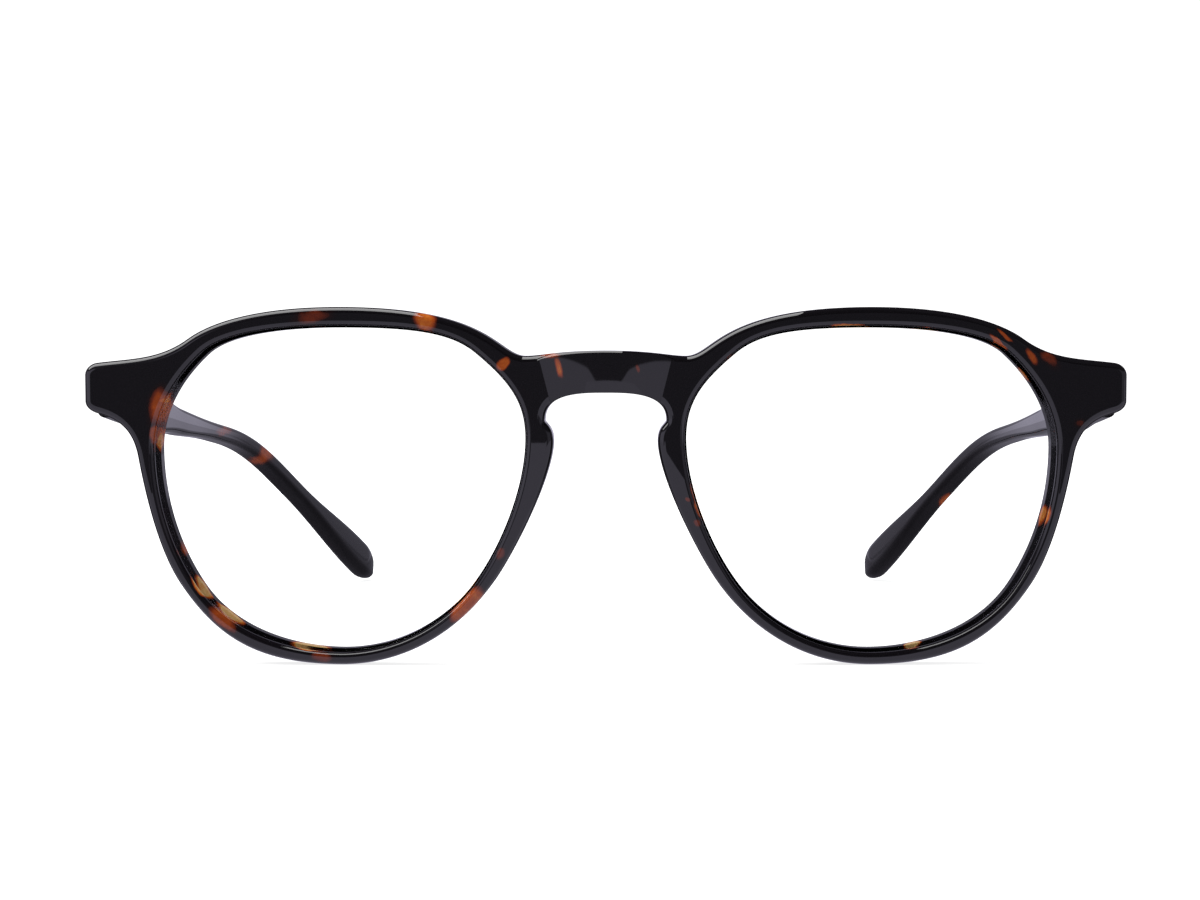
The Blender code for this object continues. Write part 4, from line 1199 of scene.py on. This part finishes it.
def metal(name, colour, rough_low, rough_high, grain):
    """Metal with fine turning or drawing marks along Z."""
    board = Board(name)
    stretched = board.vector_math("MULTIPLY", board.place(), (1.0, 1.0, grain))
    marks = board.noise(stretched, METAL_MARK_SCALE, 3.0)
    shade = board.ramp(marks, ((0.3, tuple(c * METAL_MARK_SHADE for c in colour)), (0.7, colour)))
    board.surface(Base_Color=shade, Metallic=1.0, Roughness=board.spread(marks, rough_low, rough_high))
    board.bump(marks, 0.15, METAL_BUMP)
    return board.material


# Studio


def looks_at(board):
    """Whether something is seen plainly, whether polish mirrors it, and white with a lilac tinge then."""
    rays = board.node("ShaderNodeLightPath").outputs
    seen = board.larger(rays["Is Camera Ray"], rays["Is Transmission Ray"])
    mirrored = rays["Is Glossy Ray"]
    tinge = board.vector_math("MULTIPLY", LILAC_LOSS, mirrored)
    return seen, mirrored, board.vector_math("SUBTRACT", WHITE, tinge)


def make_table():
    """A white table that is the background, with the object's soft shadow on it, and its edge in front."""
    bm = bmesh.new()
    bm.faces.new([bm.verts.new((x, y, -TABLE_DROP)) for x, y in TABLE_OUTLINE])
    table = make_mesh("table_top", bm)
    board = Board("white_table")
    seen, mirrored, white = looks_at(board)
    x, far, _ = board.axes(board.place())
    fill = board.times(seen, board.map_range(far, *TABLE_SEEN))
    # painted light: the acetate mirrors a table whose brightness is painted by place as emission, painted
    # bright before the front and painted shade between the temples
    aside = board.over(board.math("ABSOLUTE", x), board.larger(far, TABLE_NEAR_LIMIT))
    straight = board.times(board.map_range(far, *TABLE_FAR), board.map_range(aside, *TABLE_MIDDLE))
    between = board.plus(board.map_range(far, *TABLE_BETWEEN), straight)
    sheen = board.plus(board.map_range(far, *TABLE_BEFORE), between)
    board.surface(Base_Color=board.times(board.minus(1.0, mirrored), TABLE_SHADE),
                  Roughness=TABLE_ROUGHNESS, Specular_IOR_Level=0.0, Emission_Color=white,
                  Emission_Strength=board.plus(fill, board.times(mirrored, sheen)))
    table.data.materials.append(board.material)


def make_softbox():
    lamp = bpy.data.lights.new("overhead_softbox", "AREA")
    lamp.shape = "RECTANGLE"
    lamp.size, lamp.size_y = SOFTBOX_SIZE
    lamp.energy = SOFTBOX_POWER
    add_object("overhead_softbox", lamp).location = SOFTBOX_PLACE


def room_light(board):
    """How bright the room is in a direction, as the polished acetate shows it."""
    x, y, z = board.axes(board.place("Generated"))
    ahead = board.larger(board.times(y, -1.0), FLAT_LIMIT)
    aside, height = board.over(x, ahead), board.over(z, ahead)
    # the white table's edge before the camera
    off = board.math("ABSOLUTE", board.plus(aside, EDGE_FLAT_HALF))
    climb = board.times(board.larger(board.minus(off, EDGE_FLAT_HALF), 0.0), EDGE_CLIMB)
    climb = board.plus(climb, board.map_range(off, *EDGE_STEP))
    above = board.minus(height, board.plus(climb, EDGE_LEVEL))
    table = board.times(board.map_range(above, EDGE_BLUR, -EDGE_BLUR),
                        board.map_range(board.math("ABSOLUTE", aside), *EDGE_SIDES))
    # a white wall on the left, a dim one on the right
    front = board.plus(board.times(table, EDGE_BRIGHTNESS), FRONT_BRIGHTNESS,
                       board.map_range(aside, *LEFT_WALL), board.map_range(aside, *RIGHT_WALL))
    # the white sheet behind the object is brightest straight behind it, and low
    flat = board.math("SQRT", board.plus(board.times(x, x), board.times(y, y)))
    straight = board.over(y, board.larger(flat, FLAT_LIMIT))
    sheet = board.times(board.map_range(straight, *SHEET_MIDDLE), board.map_range(z, *SHEET_TOP))
    back = board.plus(board.times(sheet, SHEET_BRIGHTNESS), BACK_BRIGHTNESS)
    level = board.blend(board.map_range(y, *BACK_START), front, back)
    return board.times(level, board.map_range(z, *CEILING))


def make_room():
    world = bpy.data.worlds.new("white_room")
    world.use_nodes = True
    bpy.context.scene.world = world
    board = Board("white_room", world.node_tree)
    seen, mirrored, white = looks_at(board)
    unseen = board.blend(mirrored, ROOM_FILL, board.times(room_light(board), ROOM_GAIN))
    board.fill(board.tree.nodes["Background"], Color=white,
               Strength=board.blend(seen, unseen, SEEN_BRIGHTNESS))


def make_camera():
    """The photograph's view: level with the brow, right of the middle, and looking slightly down."""
    camera = add_object("camera", bpy.data.cameras.new("camera"))
    camera.location = CAMERA_PLACE
    camera.rotation_euler = (radians(90 - CAMERA_TILT), 0.0, 0.0)
    camera.data.lens = CAMERA_LENS
    camera.data.shift_x = CAMERA_SHIFT
    camera.data.clip_start = CAMERA_NEAR
    bpy.context.scene.camera = camera


def set_material(made, material):
    made.data.materials.clear()
    made.data.materials.append(material)


def dress(made, body, node, material):
    set_material(made, material)
    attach(made, body)
    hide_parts(node)


def main():
    bpy.context.scene.view_settings.view_transform = "Standard"
    acetate = tortoise_acetate("dark_tortoise_acetate", FRONT_CLOUDS)
    temple_acetate = tortoise_acetate("tortoise_temple_acetate", TEMPLE_CLOUDS)
    pads = pad_acetate()
    glass = clear_lens()
    nickel = metal("hinge_nickel_silver", (0.60, 0.58, 0.54), 0.22, 0.38, 0.2)
    steel = metal("screw_steel", (0.55, 0.55, 0.57), 0.18, 0.30, 1.0)
    wire = metal("core_wire", (0.58, 0.56, 0.52), 0.30, 0.45, 1.0)
    dress(make_front(), "front", "front_frame", acetate)
    for side, word in ((-1, "left"), (1, "right")):
        temple = f"{word}_temple"
        for make, name, body, node, slot, material in (
            (make_lens, "clear_lens", "front", "lens", "clear_lens", glass),
            (make_nose_pad, "pad", "front", "nose_pad", "pad_acetate", pads),
            (make_front_hinge, "front_leaf", "front", "front_hinge", "nickel_silver", nickel),
            (make_screw, "screw", "front", "hinge_screw", "screw_steel", steel),
            (make_temple_hinge, "temple_leaf", temple, "temple_hinge", "nickel_silver", nickel),
            (make_temple, "acetate_temple", temple, "temple", "acetate", temple_acetate),
        ):
            dress(make(f"{name}_{word}", side), body, f"{node}_{word}", material)
        set_material(frame["nodes"][f"temple_core_{word}"], wire)
    make_table()
    make_softbox()
    make_room()
    make_camera()


main()
